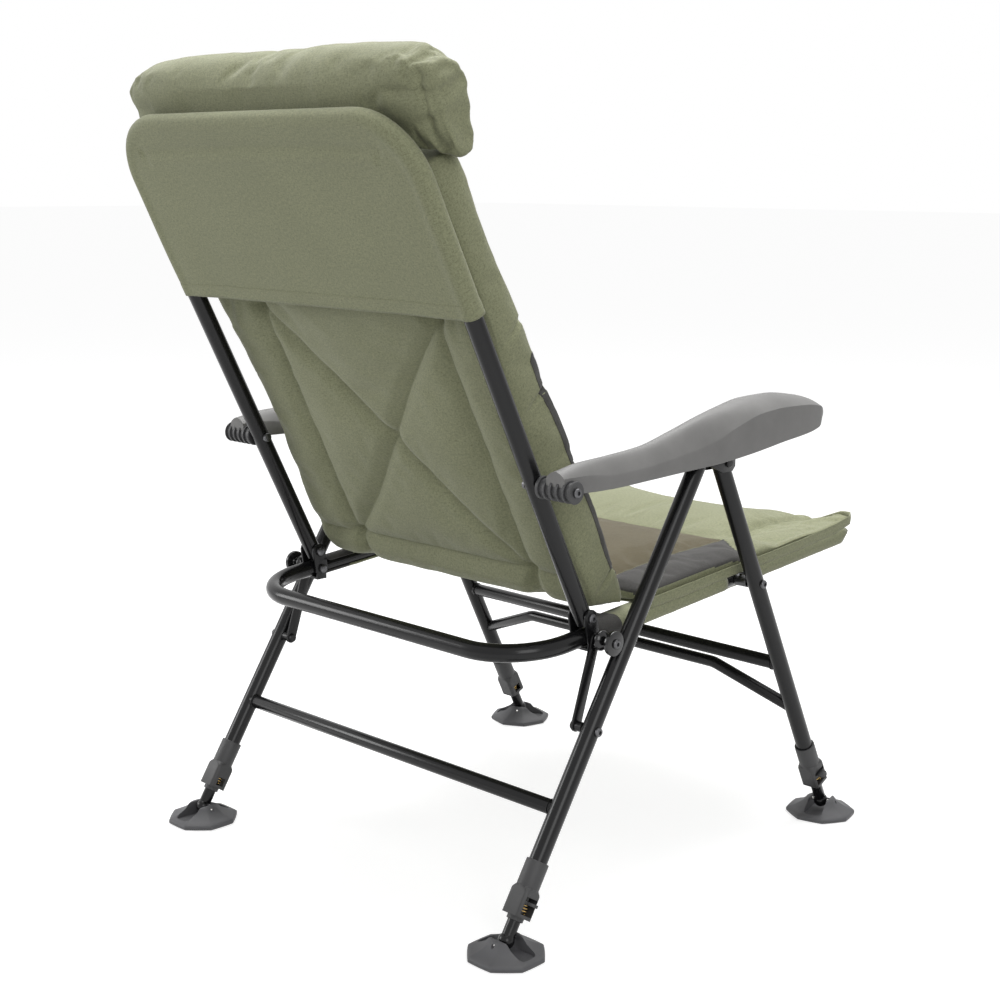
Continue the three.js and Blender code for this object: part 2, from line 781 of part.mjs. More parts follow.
for (const [word, side] of sides) {
  addPiece(chair, `hinge_bracket_${word}`, hingeBracket(side), plateFinish);
  addPiece(chair, `back_pivot_bolt_${word}`,
    bolt(backPivot, side, hingeInner - gap, hingeOuter + plateThickness + gap), boltFinish);
  addPiece(chair, `stop_bolt_${word}`,
    bolt(stopPoint, side, hingeInner - gap, spoolOuter + gap), boltFinish);
  addPiece(chair, `stop_spool_${word}`, stopSpool(side), glossFinish);
  addPiece(chair, `front_pivot_bolt_${word}`, frontPivotBolt(side), boltFinish);
}

// Legs: straight tubes, drilled for their pivots, open below for the inner legs
const collarTop = (show) => show + ringHeight + blockHeight + shoulderHeight + sleeveHeight;
const legFoot = (show) => show + ringHeight + blockHeight + shoulderHeight + gap;
function legTube(top, ball, lean, show, pivots, side) {
  const start = along(top, lean, legOverhang);
  const end = along(ball, lean, legFoot(show));
  const blank = tube([atX(start, side * legPlane), atX(end, side * legPlane)], mainRadius, mainWall);
  return cutBy(blank, pivots.map((pivot) => drill(pivot)));
}
const frontCope = (side) => bar(
  atX(along(armFront, leanAngle, legOverhang), side * legPlane),
  atX(frontBall, side * legPlane), mainRadius + gap);
const rearCope = (side) => bar(
  atX(along(rearTop, -rearLegAngle, legOverhang), side * legPlane),
  atX(rearBall, side * legPlane), mainRadius + gap);
for (const [word, side] of sides) {
  addPiece(chair, `front_leg_${word}`,
    legTube(armFront, frontBall, leanAngle, frontShaftShow, [armFront, seatPivot], side), frameFinish);
  addPiece(chair, `rear_leg_${word}`,
    legTube(rearTop, rearBall, -rearLegAngle, rearShaftShow, [rearTop, linkFoot], side), frameFinish);
}

// Cross tubes, coped to the legs they are welded to
function crossTube(point, radius, cope) {
  const blank = tube([atX(point, -legPlane), atX(point, legPlane)], radius, crossWall);
  return cutBy(blank, [cope(-1), cope(1)]);
}
const upperCross = along(seatPivot, leanAngle, -upperCrossDrop);
addPiece(chair, 'front_cross_upper', crossTube(upperCross, crossRadius, frontCope), frameFinish);
addPiece(chair, 'rear_cross',
  crossTube(along(rearTop, -rearLegAngle, -rearCrossAlong), crossRadius, rearCope), frameFinish);

function archedCross() {
  const low = along(seatPivot, leanAngle, -lowerCrossDrop);
  const high = along(seatPivot, leanAngle, -archDrop);
  const arch = tube([
    atX(low, -legPlane),
    atX(high, archInset - legPlane),
    atX(high, legPlane - archInset),
    atX(low, legPlane),
  ], lowCrossRadius, crossWall, archBendRadius, 3, 10);
  const strapStart = along(seatPivot, leanAngle, -(upperCrossDrop + crossRadius + gap));
  const strap = new THREE.BoxGeometry(strapWidth, strapWidth / 2, archDrop - upperCrossDrop
    - crossRadius - gap - lowCrossRadius / 2);
  const strapLength = strap.parameters.depth;
  const middle = along(strapStart, leanAngle, -strapLength / 2);
  strap.rotateX(-leanAngle * degree);
  strap.translate(0, middle.y, middle.z);
  return joined([cutBy(arch, [frontCope(-1), frontCope(1)]), strap]);
}
addPiece(chair, 'front_cross_lower', archedCross(), frameFinish);

// Link bars from the spool bolts to the rear legs, each with its own lower rivet
function linkBar(side) {
  const blank = sidePlate(stadium(stopPoint, linkFoot, linkRadius), linkInner, linkThickness, side);
  const bossEnd = legPlane - mainRadius - gap;
  const linkOuter = linkInner + linkThickness;
  const rivet = turned([
    [0, linkInner - headHeight],
    [headRadius, linkInner - headHeight],
    [headRadius, linkInner + linkThickness / 2],
    [linkBossRadius, linkOuter],
    [linkBossRadius, bossEnd],
    [0, bossEnd],
  ], linkFoot, side, boltSides);
  return cutBy(joined([blank, rivet]), [drill(stopPoint)]);
}
function linkBolt(side) {
  const start = legPlane - mainRadius + gap;
  const headStart = legPlane + mainRadius + gap;
  const headEnd = headStart + headHeight;
  return turned([
    [0, start],
    [boltRadius, start],
    [boltRadius, headStart],
    [headRadius, headStart],
    [headRadius, headEnd - headHeight / 3],
    [headRadius - headHeight / 3, headEnd],
    [socketRadius, headEnd],
    [socketRadius, headEnd - socketDepth],
    [0, headEnd - socketDepth],
  ], linkFoot, side, boltSides);
}
for (const [word, side] of sides) {
  addPiece(chair, `link_bar_${word}`, linkBar(side), plateFinish);
  addPiece(chair, `link_bolt_${word}`, linkBolt(side), boltFinish);
}

// Armrests: a moulded shell, open below, that sweeps up from a thin neck to a broad palm rest.
// Each station gives its place along the arm, then the heights of the top, of the crease and
// of the lower edge as shares of the rise, and the half width as a share.
const armStationShares = [
  [-0.02, 0.29, 0.2, 0.03, 0.42],
  [0.06, 0.37, 0.2, -0.06, 0.5],
  [0.15, 0.4, 0.14, -0.07, 0.52],
  [0.28, 0.46, 0.18, -0.04, 0.6],
  [0.4, 0.62, 0.28, 0, 0.72],
  [0.51, 0.79, 0.4, 0.03, 0.82],
  [0.6, 0.9, 0.6, 0.08, 0.92],
  [0.7, 0.99, 0.76, 0.15, 0.98],
  [0.8, 1, 0.8, 0.23, 1],
  [0.9, 0.93, 0.78, 0.29, 0.97],
  [0.97, 0.83, 0.72, 0.36, 0.86],
  [1, 0.7, 0.66, 0.5, 0.66],
];
const armLength = armRear.y - armFront.y + armReach;
const armBase = armRear.z;
function armShell(shrink, drop, first, last) {
  const rings = [];
  armStationShares.forEach(([place, top, crease, low, width], k) => {
    if (k < first || k > last) return;
    const y = armRear.y - armLength * place + (k === last && shrink ? shrink : 0);
    const zTop = armBase + armRise * top - shrink;
    const zCrease = armBase + armRise * crease - shrink / 2;
    const zLow = armBase + armRise * low - drop;
    const half = armHalfWidth * width - shrink;
    const ring = [];
    const arcSteps = 7;
    ring.push(new THREE.Vector3(-half, y, zLow));
    for (let i = 0; i <= arcSteps; i += 1) {
      const t = (Math.PI * i) / arcSteps;
      const across = -Math.cos(t);
      const crown = 1 - Math.abs(across) ** armCrownPower;
      ring.push(new THREE.Vector3(half * across, y, zCrease + (zTop - zCrease) * crown));
    }
    ring.push(new THREE.Vector3(half, y, zLow));
    rings.push(ring);
  });
  return loft(rings);
}
const bracketTop = armFront.z + bracketUp;
function armrest(side) {
  const last = armStationShares.length - 1;
  const centre = new THREE.Vector3(side * legPlane, 0, 0);
  const shell = cutBy(armShell(0, 0, 0, last), [armShell(armWall, overrun, 1, last - 1)]);
  const ribs = [armFront.y - bracketAhead / 2, rearTop.y + bracketBehind / 2].map((y) => {
    const bottom = bracketTop + bracketThickness + bracketSeatUp;
    const rib = new THREE.BoxGeometry(2 * armHalfWidth, armRibThickness, armRise);
    return rib.translate(0, y, bottom + armRise / 2);
  });
  const ribBody = ribs.map((rib) => fromSolid(toSolid(rib).intersect(toSolid(armShell(armWall / 3, 0, 0, last)))));
  const boss = turned([
    [0, hingeOuter],
    [armBossRadius, hingeOuter],
    [armBossRadius, hingeOuter + armBossLength],
    [0, hingeOuter + armBossLength],
  ], armRear, side, 20);
  const rawBody = joined([shell, ...ribBody]);
  rawBody.translate(centre.x, 0, 0);
  const pitch = (armBossLength - armBossWall) / armRibCount;
  const grooves = Array.from({ length: armRibCount }, (_, i) => {
    const x = hingeOuter + armBossWall + pitch * i + armRibThickness / 2 + (pitch - armRibThickness) / 2;
    const groove = new THREE.BoxGeometry(pitch - armRibThickness, 2 * armBossRadius, armBossRadius);
    return groove.translate(side * x, armRear.y + armBossRadius / 3, armRear.z - armBossRadius * armGrooveShare);
  });
  return cutBy(joined([rawBody, boss]), [...grooves, drill(armRear)]);
}

// Arm bracket: a folded channel up inside the arm, with its two pivots through the legs
function armBracket(side) {
  const half = mainRadius + gap + bracketThickness;
  const low = armFront.z - bracketDrop;
  const ahead = armFront.y - bracketAhead;
  const behind = rearTop.y + bracketBehind;
  const cheek = new THREE.Shape();
  cheek.moveTo(ahead + bracketDrop / 2, low);
  cheek.lineTo(armFront.y + bracketDrop, low);
  cheek.lineTo(behind, armFront.z + bracketDrop / 2);
  cheek.lineTo(behind, bracketTop);
  cheek.lineTo(ahead, bracketTop);
  cheek.lineTo(ahead, low + bracketDrop / 2);
  const cheeks = [legPlane - half, legPlane + mainRadius + gap].map((inner) =>
    sidePlate(cheek, inner, bracketThickness, side));
  const web = new THREE.BoxGeometry(2 * half, behind - ahead, bracketThickness)
    .translate(side * legPlane, (ahead + behind) / 2, bracketTop + bracketThickness / 2 - gap / 2);
  const pivot = (point) => turned([
    [0, legPlane - half - headHeight],
    [headRadius, legPlane - half - headHeight],
    [headRadius, legPlane - half + gap],
    [boltRadius, legPlane - half + gap],
    [boltRadius, legPlane + half - gap],
    [headRadius, legPlane + half - gap],
    [headRadius, legPlane + half + headHeight * 2 / 3],
    [headRadius - headHeight / 3, legPlane + half + headHeight],
    [0, legPlane + half + headHeight],
  ], point, side, boltSides);
  return joined([...cheeks, web, pivot(armFront), pivot(rearTop)]);
}
for (const [word, side] of sides) {
  addPiece(chair, `armrest_${word}`, armrest(side), armFinish);
  addPiece(chair, `arm_bracket_${word}`, armBracket(side), plateFinish);
  addPiece(chair, `arm_rear_bolt_${word}`,
    bolt(armRear, side, seatPlane - mainRadius - gap, hingeOuter + armBossLength + gap), boltFinish);
}

// Collar on the end of each leg: a sleeve, a shoulder, a notched block and a ring
function legCollar(show) {
  const blockStart = show + ringHeight;
  const blockEnd = blockStart + blockHeight;
  const sleeveStart = blockEnd + shoulderHeight;
  const top = collarTop(show);
  const square = new THREE.Shape();
  const h = blockSize / 2;
  square.moveTo(-h + blockChamfer, -h);
  square.lineTo(h - blockChamfer, -h);
  square.lineTo(h, -h + blockChamfer);
  square.lineTo(h, h - blockChamfer);
  square.lineTo(h - blockChamfer, h);
  square.lineTo(-h + blockChamfer, h);
  square.lineTo(-h, h - blockChamfer);
  square.lineTo(-h, -h + blockChamfer);
  const blank = new THREE.ExtrudeGeometry(square, { depth: blockHeight + shoulderHeight, bevelEnabled: false });
  blank.translate(0, 0, blockStart);
  const round = (points, sides) => {
    const geometry = new THREE.LatheGeometry(points.map(([r, z]) => new THREE.Vector2(r, z)), sides);
    return geometry.rotateX(Math.PI / 2);
  };
  const shoulder = round([
    [0, blockStart],
    [blockSize, blockStart],
    [blockSize / Math.SQRT2, blockEnd],
    [sleeveRadius - gap, sleeveStart],
    [0, sleeveStart],
  ], 2 * tubeSides);
  const block = fromSolid(toSolid(blank).intersect(toSolid(shoulder)));
  const body = round([
    [0, show],
    [ringRadius, show],
    [ringRadius, blockStart + gap],
    [blockSize / 2 - gap, blockStart + gap],
    [blockSize / 2 - gap, blockEnd],
    [sleeveRadius, blockEnd],
    [sleeveRadius, top],
    [0, top],
  ], tubeSides);
  const tubeSpace = round([
    [0, sleeveStart],
    [mainRadius + gap, sleeveStart],
    [mainRadius + gap, top + overrun],
    [0, top + overrun],
  ], tubeSides);
  const shaftSpace = round([
    [0, show - overrun],
    [innerRadius + gap, show - overrun],
    [innerRadius + gap, top],
    [0, top],
  ], tubeSides);
  const notchDepth = notchBack + blockSize;
  const notch = new THREE.BoxGeometry(2 * (latchHalfWidth + gap), notchDepth, notchHeight)
    .translate(0, notchBack - notchDepth / 2, blockStart + notchBase + notchHeight / 2);
  const window = new THREE.BoxGeometry(2 * latchTabHalfWidth, blockSize, windowHeight)
    .translate(0, blockSize / 2, blockStart + notchBase + windowHeight / 2);
  return cutBy(joined([block, body]), [tubeSpace, shaftSpace, notch, window]);
}

// Latch: a plate round the inner leg with a thumb tab that sticks out of the notch
function latch(show) {
  const shape = new THREE.Shape();
  shape.moveTo(-latchHalfWidth, notchBack - gap);
  shape.lineTo(-latchHalfWidth, -blockSize / 2);
  shape.lineTo(-latchTabHalfWidth, -blockSize / 2 - gap);
  shape.lineTo(-latchTabHalfWidth, -blockSize / 2 - latchTab);
  shape.lineTo(latchTabHalfWidth, -blockSize / 2 - latchTab);
  shape.lineTo(latchTabHalfWidth, -blockSize / 2 - gap);
  shape.lineTo(latchHalfWidth, -blockSize / 2);
  shape.lineTo(latchHalfWidth, notchBack - gap);
  shape.holes.push(new THREE.Path(circlePoints(innerRadius + 2 * gap, tubeSides).reverse()));
  const plate = new THREE.ExtrudeGeometry(shape, { depth: latchThickness, bevelEnabled: false });
  return plate.translate(0, 0, show + ringHeight + notchBase + latchLift);
}

// Spring: an open coil between the foot of the notch and the latch
class Helix extends THREE.Curve {
  constructor(radius, pitch, turns) {
    super();
    Object.assign(this, { radius, pitch, turns });
  }

  getPoint(t, target = new THREE.Vector3()) {
    const a = 2 * Math.PI * this.turns * t;
    return target.set(this.radius * Math.cos(a), this.radius * Math.sin(a), this.pitch * this.turns * t);
  }
}
function latchSpring(show) {
  const free = latchLift - 2 * gap - 2 * springWire;
  const helix = new Helix(springRadius, free / springTurns, springTurns);
  const wire = new THREE.Shape(circlePoints(springWire, 5));
  const coil = new THREE.ExtrudeGeometry(wire, { steps: 8 * springTurns, extrudePath: helix });
  return coil.translate(0, 0, show + ringHeight + notchBase + gap + springWire);
}
const springClearance = latchLift / springTurns - 2 * springWire;
console.log(`least gap between the turns of a latch spring: ${springClearance.toFixed(2)} mm`);

// Inner leg: the sliding shaft with the ball on its end, bored for the foot's pin
function innerLeg(pinDirection) {
  const points = [];
  const ballSteps = 7;
  const neck = Math.asin(innerRadius / ballRadius);
  for (let i = 0; i <= ballSteps; i += 1) {
    const t = Math.PI - ((Math.PI - neck) * i) / ballSteps;
    points.push(new THREE.Vector2(ballRadius * Math.sin(t), ballRadius * Math.cos(t)));
  }
  points.push(new THREE.Vector2(innerRadius, innerLength), new THREE.Vector2(0, innerLength));
  const shaft = new THREE.LatheGeometry(points, tubeSides).rotateX(Math.PI / 2);
  const reach = pinDirection.clone().multiplyScalar(2 * ballRadius);
  return cutBy(shaft, [bar(reach.clone().negate(), reach, pinBoreRadius, 12)]);
}

// Foot pad: a low eight-sided dome with a slot across it for the leg to tip in
const padProfileShares = [[0.96, 0], [1, 0.06], [1, 0.2], [0.95, 0.3], [0.74, 0.45], [0.52, 0.72], [0.36, 1]];
const padFlatShare = 0.94;
const padCrestShare = 0.5;
const cupFloorShare = 0.55;
function footPad() {
  const count = 16;
  const rings = padProfileShares.map(([width, height]) => {
    const ring = [];
    for (let i = 0; i < count; i += 1) {
      const flat = i % 2 === 0 || width < padCrestShare ? 1 : padFlatShare;
      const radius = padRadius * width * flat;
      const a = (2 * Math.PI * (i + 1)) / count;
      ring.push(new THREE.Vector3(radius * Math.cos(a), radius * Math.sin(a),
        padHeight * height - footPivotHeight));
    }
    return ring;
  });
  const slotRise = padHeight + overrun;
  const slotBox = new THREE.BoxGeometry(2 * slotHalfWidth, 2 * slotHalfLength, slotRise)
    .translate(0, 0, slotFloor - footPivotHeight + slotRise / 2);
  const cup = new THREE.SphereGeometry(ballRadius + 2 * gap, 12, 8).rotateX(Math.PI / 2);
  const floorBlock = new THREE.BoxGeometry(2 * slotHalfWidth, 2 * ballRadius, padHeight)
    .translate(0, 0, -ballRadius * cupFloorShare - padHeight / 2);
  const slot = fromSolid(toSolid(slotBox).subtract(toSolid(floorBlock)).add(toSolid(cup)));
  const bores = bar(new THREE.Vector3(-padRadius, 0, 0), new THREE.Vector3(padRadius, 0, 0),
    footPinRadius + gap, 12);
  return cutBy(loft(rings), [slot, bores]);
}
const footPin = () => bar(new THREE.Vector3(-footPinHalfLength, 0, 0),
  new THREE.Vector3(footPinHalfLength, 0, 0), footPinRadius, 12);

// The pads turn freely on their balls; each stands as it was last put down
const frontRightPadAngle = 15;
const frontLeftPadAngle = -60;
const rearRightPadAngle = 90;
const rearLeftPadAngle = 0;
function addFoot(end, word, side, ball, lean, show, heading) {
  const leg = new THREE.Group();
  leg.position.copy(atX(ball, side * legPlane));
  leg.rotation.x = -lean * degree;
  const turn = new THREE.Group();
  turn.rotation.z = (side * Math.PI) / 2;
  leg.add(turn);
  chair.add(leg);
  const level = new THREE.Group();
  level.position.copy(leg.position);
  level.rotation.z = heading * degree;
  chair.add(level);
  const pinDirection = new THREE.Vector3(Math.cos(heading * degree), Math.sin(heading * degree), 0)
    .applyEuler(new THREE.Euler(lean * degree, 0, 0))
    .applyEuler(new THREE.Euler(0, 0, -turn.rotation.z));
  addPiece(turn, `collar_${end}_${word}`, legCollar(show), mouldedFinish);
  addPiece(turn, `latch_${end}_${word}`, latch(show), mouldedFinish);
  addPiece(turn, `latch_spring_${end}_${word}`, tidy(latchSpring(show)), brassFinish);
  addPiece(turn, `inner_leg_${end}_${word}`, innerLeg(pinDirection), frameFinish);
  addPiece(level, `foot_pin_${end}_${word}`, tidy(footPin()), pinFinish);
  addPiece(level, `foot_pad_${end}_${word}`, footPad(), mouldedFinish);
}
addFoot('front', 'right', -1, frontBall, leanAngle, frontShaftShow, frontRightPadAngle);
addFoot('front', 'left', 1, frontBall, leanAngle, frontShaftShow, frontLeftPadAngle);
addFoot('rear', 'right', -1, rearBall, -rearLegAngle, rearShaftShow, rearRightPadAngle);
addFoot('rear', 'left', 1, rearBall, -rearLegAngle, rearShaftShow, rearLeftPadAngle);

// How far the rear legs and the link bars turn for each degree that the back folds by, found
// from the closed loop of the linkage at the end of its travel
function foldRatios() {
  const turn = (point, centre, angle) => {
    const t = angle * degree;
    const y = point.y - centre.y;
    const z = point.z - centre.z;
    return sidePoint(centre.y + y * Math.cos(t) - z * Math.sin(t), centre.z + y * Math.sin(t) + z * Math.cos(t));
  };
  const folded = turn(armRear, backPivot, foldTravel);
  const top = folded.clone().add(rearTop).sub(armRear);
  const upper = linkPivotAlong;
  const lower = linkFoot.distanceTo(stopPoint);
  const span = stopPoint.clone().sub(top);
  const spanAngle = Math.atan2(span.z, span.y);
  const reach = span.length();
  const inner = Math.acos((upper ** 2 + reach ** 2 - lower ** 2) / (2 * upper * reach));
  const restSpan = stopPoint.clone().sub(rearTop);
  const restLeg = Math.atan2(linkFoot.z - rearTop.z, linkFoot.y - rearTop.y);
  const hand = Math.sign(Math.sin(restLeg - Math.atan2(restSpan.z, restSpan.y)));
  const legAngle = spanAngle + hand * inner;
  const foot = sidePoint(top.y + upper * Math.cos(legAngle), top.z + upper * Math.sin(legAngle));
  const wrap = (angle) => Math.atan2(Math.sin(angle), Math.cos(angle)) / degree;
  const linkAngle = Math.atan2(foot.z - stopPoint.z, foot.y - stopPoint.y);
  const restLink = Math.atan2(linkFoot.z - stopPoint.z, linkFoot.y - stopPoint.y);
  return {
    rearLegs: wrap(legAngle - restLeg) / foldTravel,
    links: wrap(linkAngle - restLink) / foldTravel,
  };
}

// The origin is on the ground under the middle of the whole chair
chair.updateMatrixWorld(true);
const bounds = new THREE.Box3().setFromObject(chair, true);
chair.position.y = -(bounds.min.y + bounds.max.y) / 2;

// Pivots of the side view, in the chair's own frame
chair.userData.pivots = Object.fromEntries(Object.entries({
  seatPivot, backPivot, armFront, armRear, rearTop, linkFoot, stopPoint, frontBall, rearBall,
}).map(([name, point]) => [name, [point.y + chair.position.y, point.z]]));
chair.userData.lean = leanAngle;
chair.userData.ratios = foldRatios();
chair.userData.latch = Object.fromEntries([['front', frontShaftShow], ['rear', rearShaftShow]].map(
  ([end, show]) => [end, {
    pivotY: notchBack - gap,
    pivotZ: show + ringHeight + notchBase + latchLift + latchThickness / 2,
    springZ: show + ringHeight + notchBase,
  }]));
chair.userData.footRock = {
  front_right: [-6, 6],
  front_left: [-6, 0],
  rear_right: [-6, 0],
  rear_left: [-6, 6],
};
chair.userData.footTilt = {
  front_right: [-40, 40],
  front_left: [-20, 20],
  rear_right: [-20, 20],
  rear_left: [-40, 40],
};
const bowEnd = seatPivot.clone().addScaledVector(seatDirection, bowReach - mainRadius - 2 * gap);
chair.userData.bow = {
  start: seatPivot.y + slingRear + overrun + chair.position.y,
  end: bowEnd.y + chair.position.y - overrun,
  low: bowEnd.z - 2 * mainRadius,
  high: bowEnd.z + 2 * mainRadius,
};

export default chair;
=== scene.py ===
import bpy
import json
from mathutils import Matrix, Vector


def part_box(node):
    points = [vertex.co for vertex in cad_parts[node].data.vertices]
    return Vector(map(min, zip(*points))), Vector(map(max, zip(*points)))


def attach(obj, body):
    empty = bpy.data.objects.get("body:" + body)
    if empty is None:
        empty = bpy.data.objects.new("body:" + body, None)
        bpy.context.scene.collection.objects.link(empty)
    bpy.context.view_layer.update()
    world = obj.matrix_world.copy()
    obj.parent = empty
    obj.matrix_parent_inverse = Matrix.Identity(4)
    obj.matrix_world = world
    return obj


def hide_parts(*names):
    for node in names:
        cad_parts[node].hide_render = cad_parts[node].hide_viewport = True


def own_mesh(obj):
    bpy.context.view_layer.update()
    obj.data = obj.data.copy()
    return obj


bl_info = {
    "name": "Folding Padded Armchair",
    "version": (1, 0, 0),
    "blender": (4, 5, 0),
    "location": "View3D > Sidebar > Armchair",
    "description": "Builds a folding padded armchair with a tubular frame over its loaded mechanism",
    "category": "Object",
}

import json
import math

import bmesh
import bpy
import numpy as np
from mathutils import Matrix, Vector, noise
from mathutils.bvhtree import BVHTree

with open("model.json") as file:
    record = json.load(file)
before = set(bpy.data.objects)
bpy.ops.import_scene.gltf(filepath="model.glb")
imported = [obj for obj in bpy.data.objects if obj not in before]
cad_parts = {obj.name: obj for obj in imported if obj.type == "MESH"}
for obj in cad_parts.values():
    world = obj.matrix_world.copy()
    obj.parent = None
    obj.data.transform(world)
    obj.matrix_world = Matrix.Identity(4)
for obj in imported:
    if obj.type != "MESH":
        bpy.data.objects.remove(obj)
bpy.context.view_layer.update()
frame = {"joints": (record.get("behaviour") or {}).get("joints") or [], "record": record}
JOINTS = {joint["name"]: joint for joint in frame["joints"]}
SIDES = (("right", -1), ("left", 1))
ENDS = ("front", "rear")
MM = 0.001


# Places and directions of the mechanism

def pivot(name):
    return Vector(JOINTS[name]["pos_m"])


def heading(name):
    return Vector(JOINTS[name]["axis"]).normalized()


def at_x(point, x):
    return Vector((x, point.y, point.z))


def low(node):
    return Vector(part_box(node)[0])


def high(node):
    return Vector(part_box(node)[1])


LEG_X = abs(pivot("foot_front_left_rock").x)
TUBE_R = (high("front_leg_left").x - low("front_leg_left").x) / 2
BACK_X = high("back_frame").x - TUBE_R
HINGE = at_x(pivot("back_fold"), 0)
SEAT_PIN = at_x(pivot("front_leg_fold"), 0)
ARM_PIN = at_x(pivot("arm_right_fold"), 0)
REAR_TOP = at_x(pivot("rear_leg_fold"), 0)
STOP_PIN = at_x(pivot("link_right_turn"), 0)
AXIS_X = Vector((1, 0, 0))
BACK_UP = (ARM_PIN - HINGE).normalized()
BACK_REAR = BACK_UP.cross(AXIS_X).normalized() * -1
if BACK_REAR.y < 0:
    BACK_REAR.negate()
SEAT_REARWARD = (STOP_PIN - SEAT_PIN).normalized()
SEAT_UP = AXIS_X.cross(SEAT_REARWARD).normalized()
if SEAT_UP.z < 0:
    SEAT_UP.negate()


def back_point(x, rear, up):
    """A point of the back, in millimetres across, behind the tubes' plane and up from the hinge."""
    return AXIS_X * x * MM + HINGE + BACK_REAR * rear * MM + BACK_UP * up * MM


def seat_point(x, rearward, up):
    """A point of the seat, in millimetres across, along the seat tubes and above them."""
    return AXIS_X * x * MM + SEAT_PIN + SEAT_REARWARD * rearward * MM + SEAT_UP * up * MM


BACK_AXES = Matrix((AXIS_X, BACK_REAR, BACK_UP))
SEAT_AXES = Matrix((AXIS_X, SEAT_REARWARD, SEAT_UP))


# Sizes and colours

def length(name, description, default):
    return bpy.props.FloatProperty(name=name, description=description, default=default, min=0.0,
                                   subtype="DISTANCE", unit="LENGTH")


def colour(name, description, default):
    return bpy.props.FloatVectorProperty(name=name, description=description, default=default, size=3,
                                         min=0.0, max=1.0, subtype="COLOR")


def share(name, description, default):
    return bpy.props.FloatProperty(name=name, description=description, default=default, min=0.0, max=1.0,
                                   subtype="FACTOR")


class ArmchairPadding(bpy.types.PropertyGroup):
    thread: length("Thread", "Spacing of the threads in the outer cloth", 0.0009)
    seam_depth: length("Seam depth", "How deep the quilting seams are drawn in", 0.009)
    swell: length("Swell", "Furthest that the filling pushes the cloth out", 0.024)
    voxel: length("Cloth grid", "Spacing of the cloth grid before the filling is pushed in", 0.006)
    stitch_spacing: length("Stitch spacing", "Distance between stitches of a visible row", 0.0042)
    green: colour("Olive cloth", "Colour of the outer cloth", (0.236, 0.246, 0.146))
    grey: colour("Grey cloth", "Colour of the side strips", (0.047, 0.045, 0.042))
    fleece: colour("Fleece", "Colour of the soft middle panels", (0.093, 0.079, 0.046))


class ArmchairFrame(bpy.types.PropertyGroup):
    sides: bpy.props.IntProperty(name="Tube sides", description="Faces round a tube", default=32, min=12, max=96)
    paint: colour("Paint", "Colour of the painted steel", (0.006, 0.006, 0.0065))
    paint_roughness: share("Paint roughness", "Roughness of the painted steel", 0.22)
    plastic: colour("Moulded plastic", "Colour of the leg collars, latches and tube plugs", (0.035, 0.035, 0.036))
    pad: colour("Foot pad plastic", "Colour of the foot pads", (0.07, 0.07, 0.074))
    arm: colour("Armrest plastic", "Colour of the armrests", (0.14, 0.138, 0.134))
    brass: colour("Brass", "Colour of the latch springs", (0.62, 0.42, 0.16))


class ArmchairStage(bpy.types.PropertyGroup):
    lens: bpy.props.FloatProperty(name="Lens", description="Focal length of the camera", default=60.45,
                                  min=10.0, max=300.0, unit="CAMERA")
    ground: colour("Ground", "Colour of the floor", (0.5, 0.5, 0.5))
    lift: share("Floor lift", "Light that the floor adds for the camera alone, towards white", 0.69)
    ambient: share("Ambient", "Strength of the even light of the surroundings", 0.56)
    overhead: bpy.props.FloatProperty(name="Overhead lamp", description="Power of the softbox above the chair",
                                      default=122.0, min=0.0, max=1000.0, unit="POWER")


# Meshes

def shown(name, data):
    """An object that holds a mesh, a lamp or a camera, linked into the scene."""
    made = bpy.data.objects.new(name, data)
    bpy.context.scene.collection.objects.link(made)
    return made


def new_mesh(name, verts, faces, edges=()):
    mesh = bpy.data.meshes.new(name)
    mesh.from_pydata([tuple(v) for v in verts], edges, faces)
    return mesh


def placed(name, mesh, body, slot, finishes, nodes=(), sharp=None):
    """Makes a piece of a mesh, on its body and in place of its CAD nodes; its slot is not used."""
    for finish in finishes:
        mesh.materials.append(finish)
    mesh.shade_smooth()
    if sharp:
        mesh.set_sharp_from_angle(angle=math.radians(sharp))
    piece = shown(name, mesh)
    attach(piece, body)
    if nodes:
        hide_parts(*nodes)
    return piece


def circle(centre, side, up, radius, count):
    """Points round a centre, from side towards up."""
    turns = [2 * math.pi * i / count for i in range(count)]
    return [centre + (side * math.cos(a) + up * math.sin(a)) * radius for a in turns]


def turned_rings(profile, origin, direction, count):
    """Rings of (radius, distance) turned round a direction."""
    direction = Vector(direction).normalized()
    side = direction.orthogonal()
    side = (side - direction * side.dot(direction)).normalized()
    other = direction.cross(side)
    return [circle(Vector(origin) + direction * distance, side, other, radius, count) for radius, distance in profile]


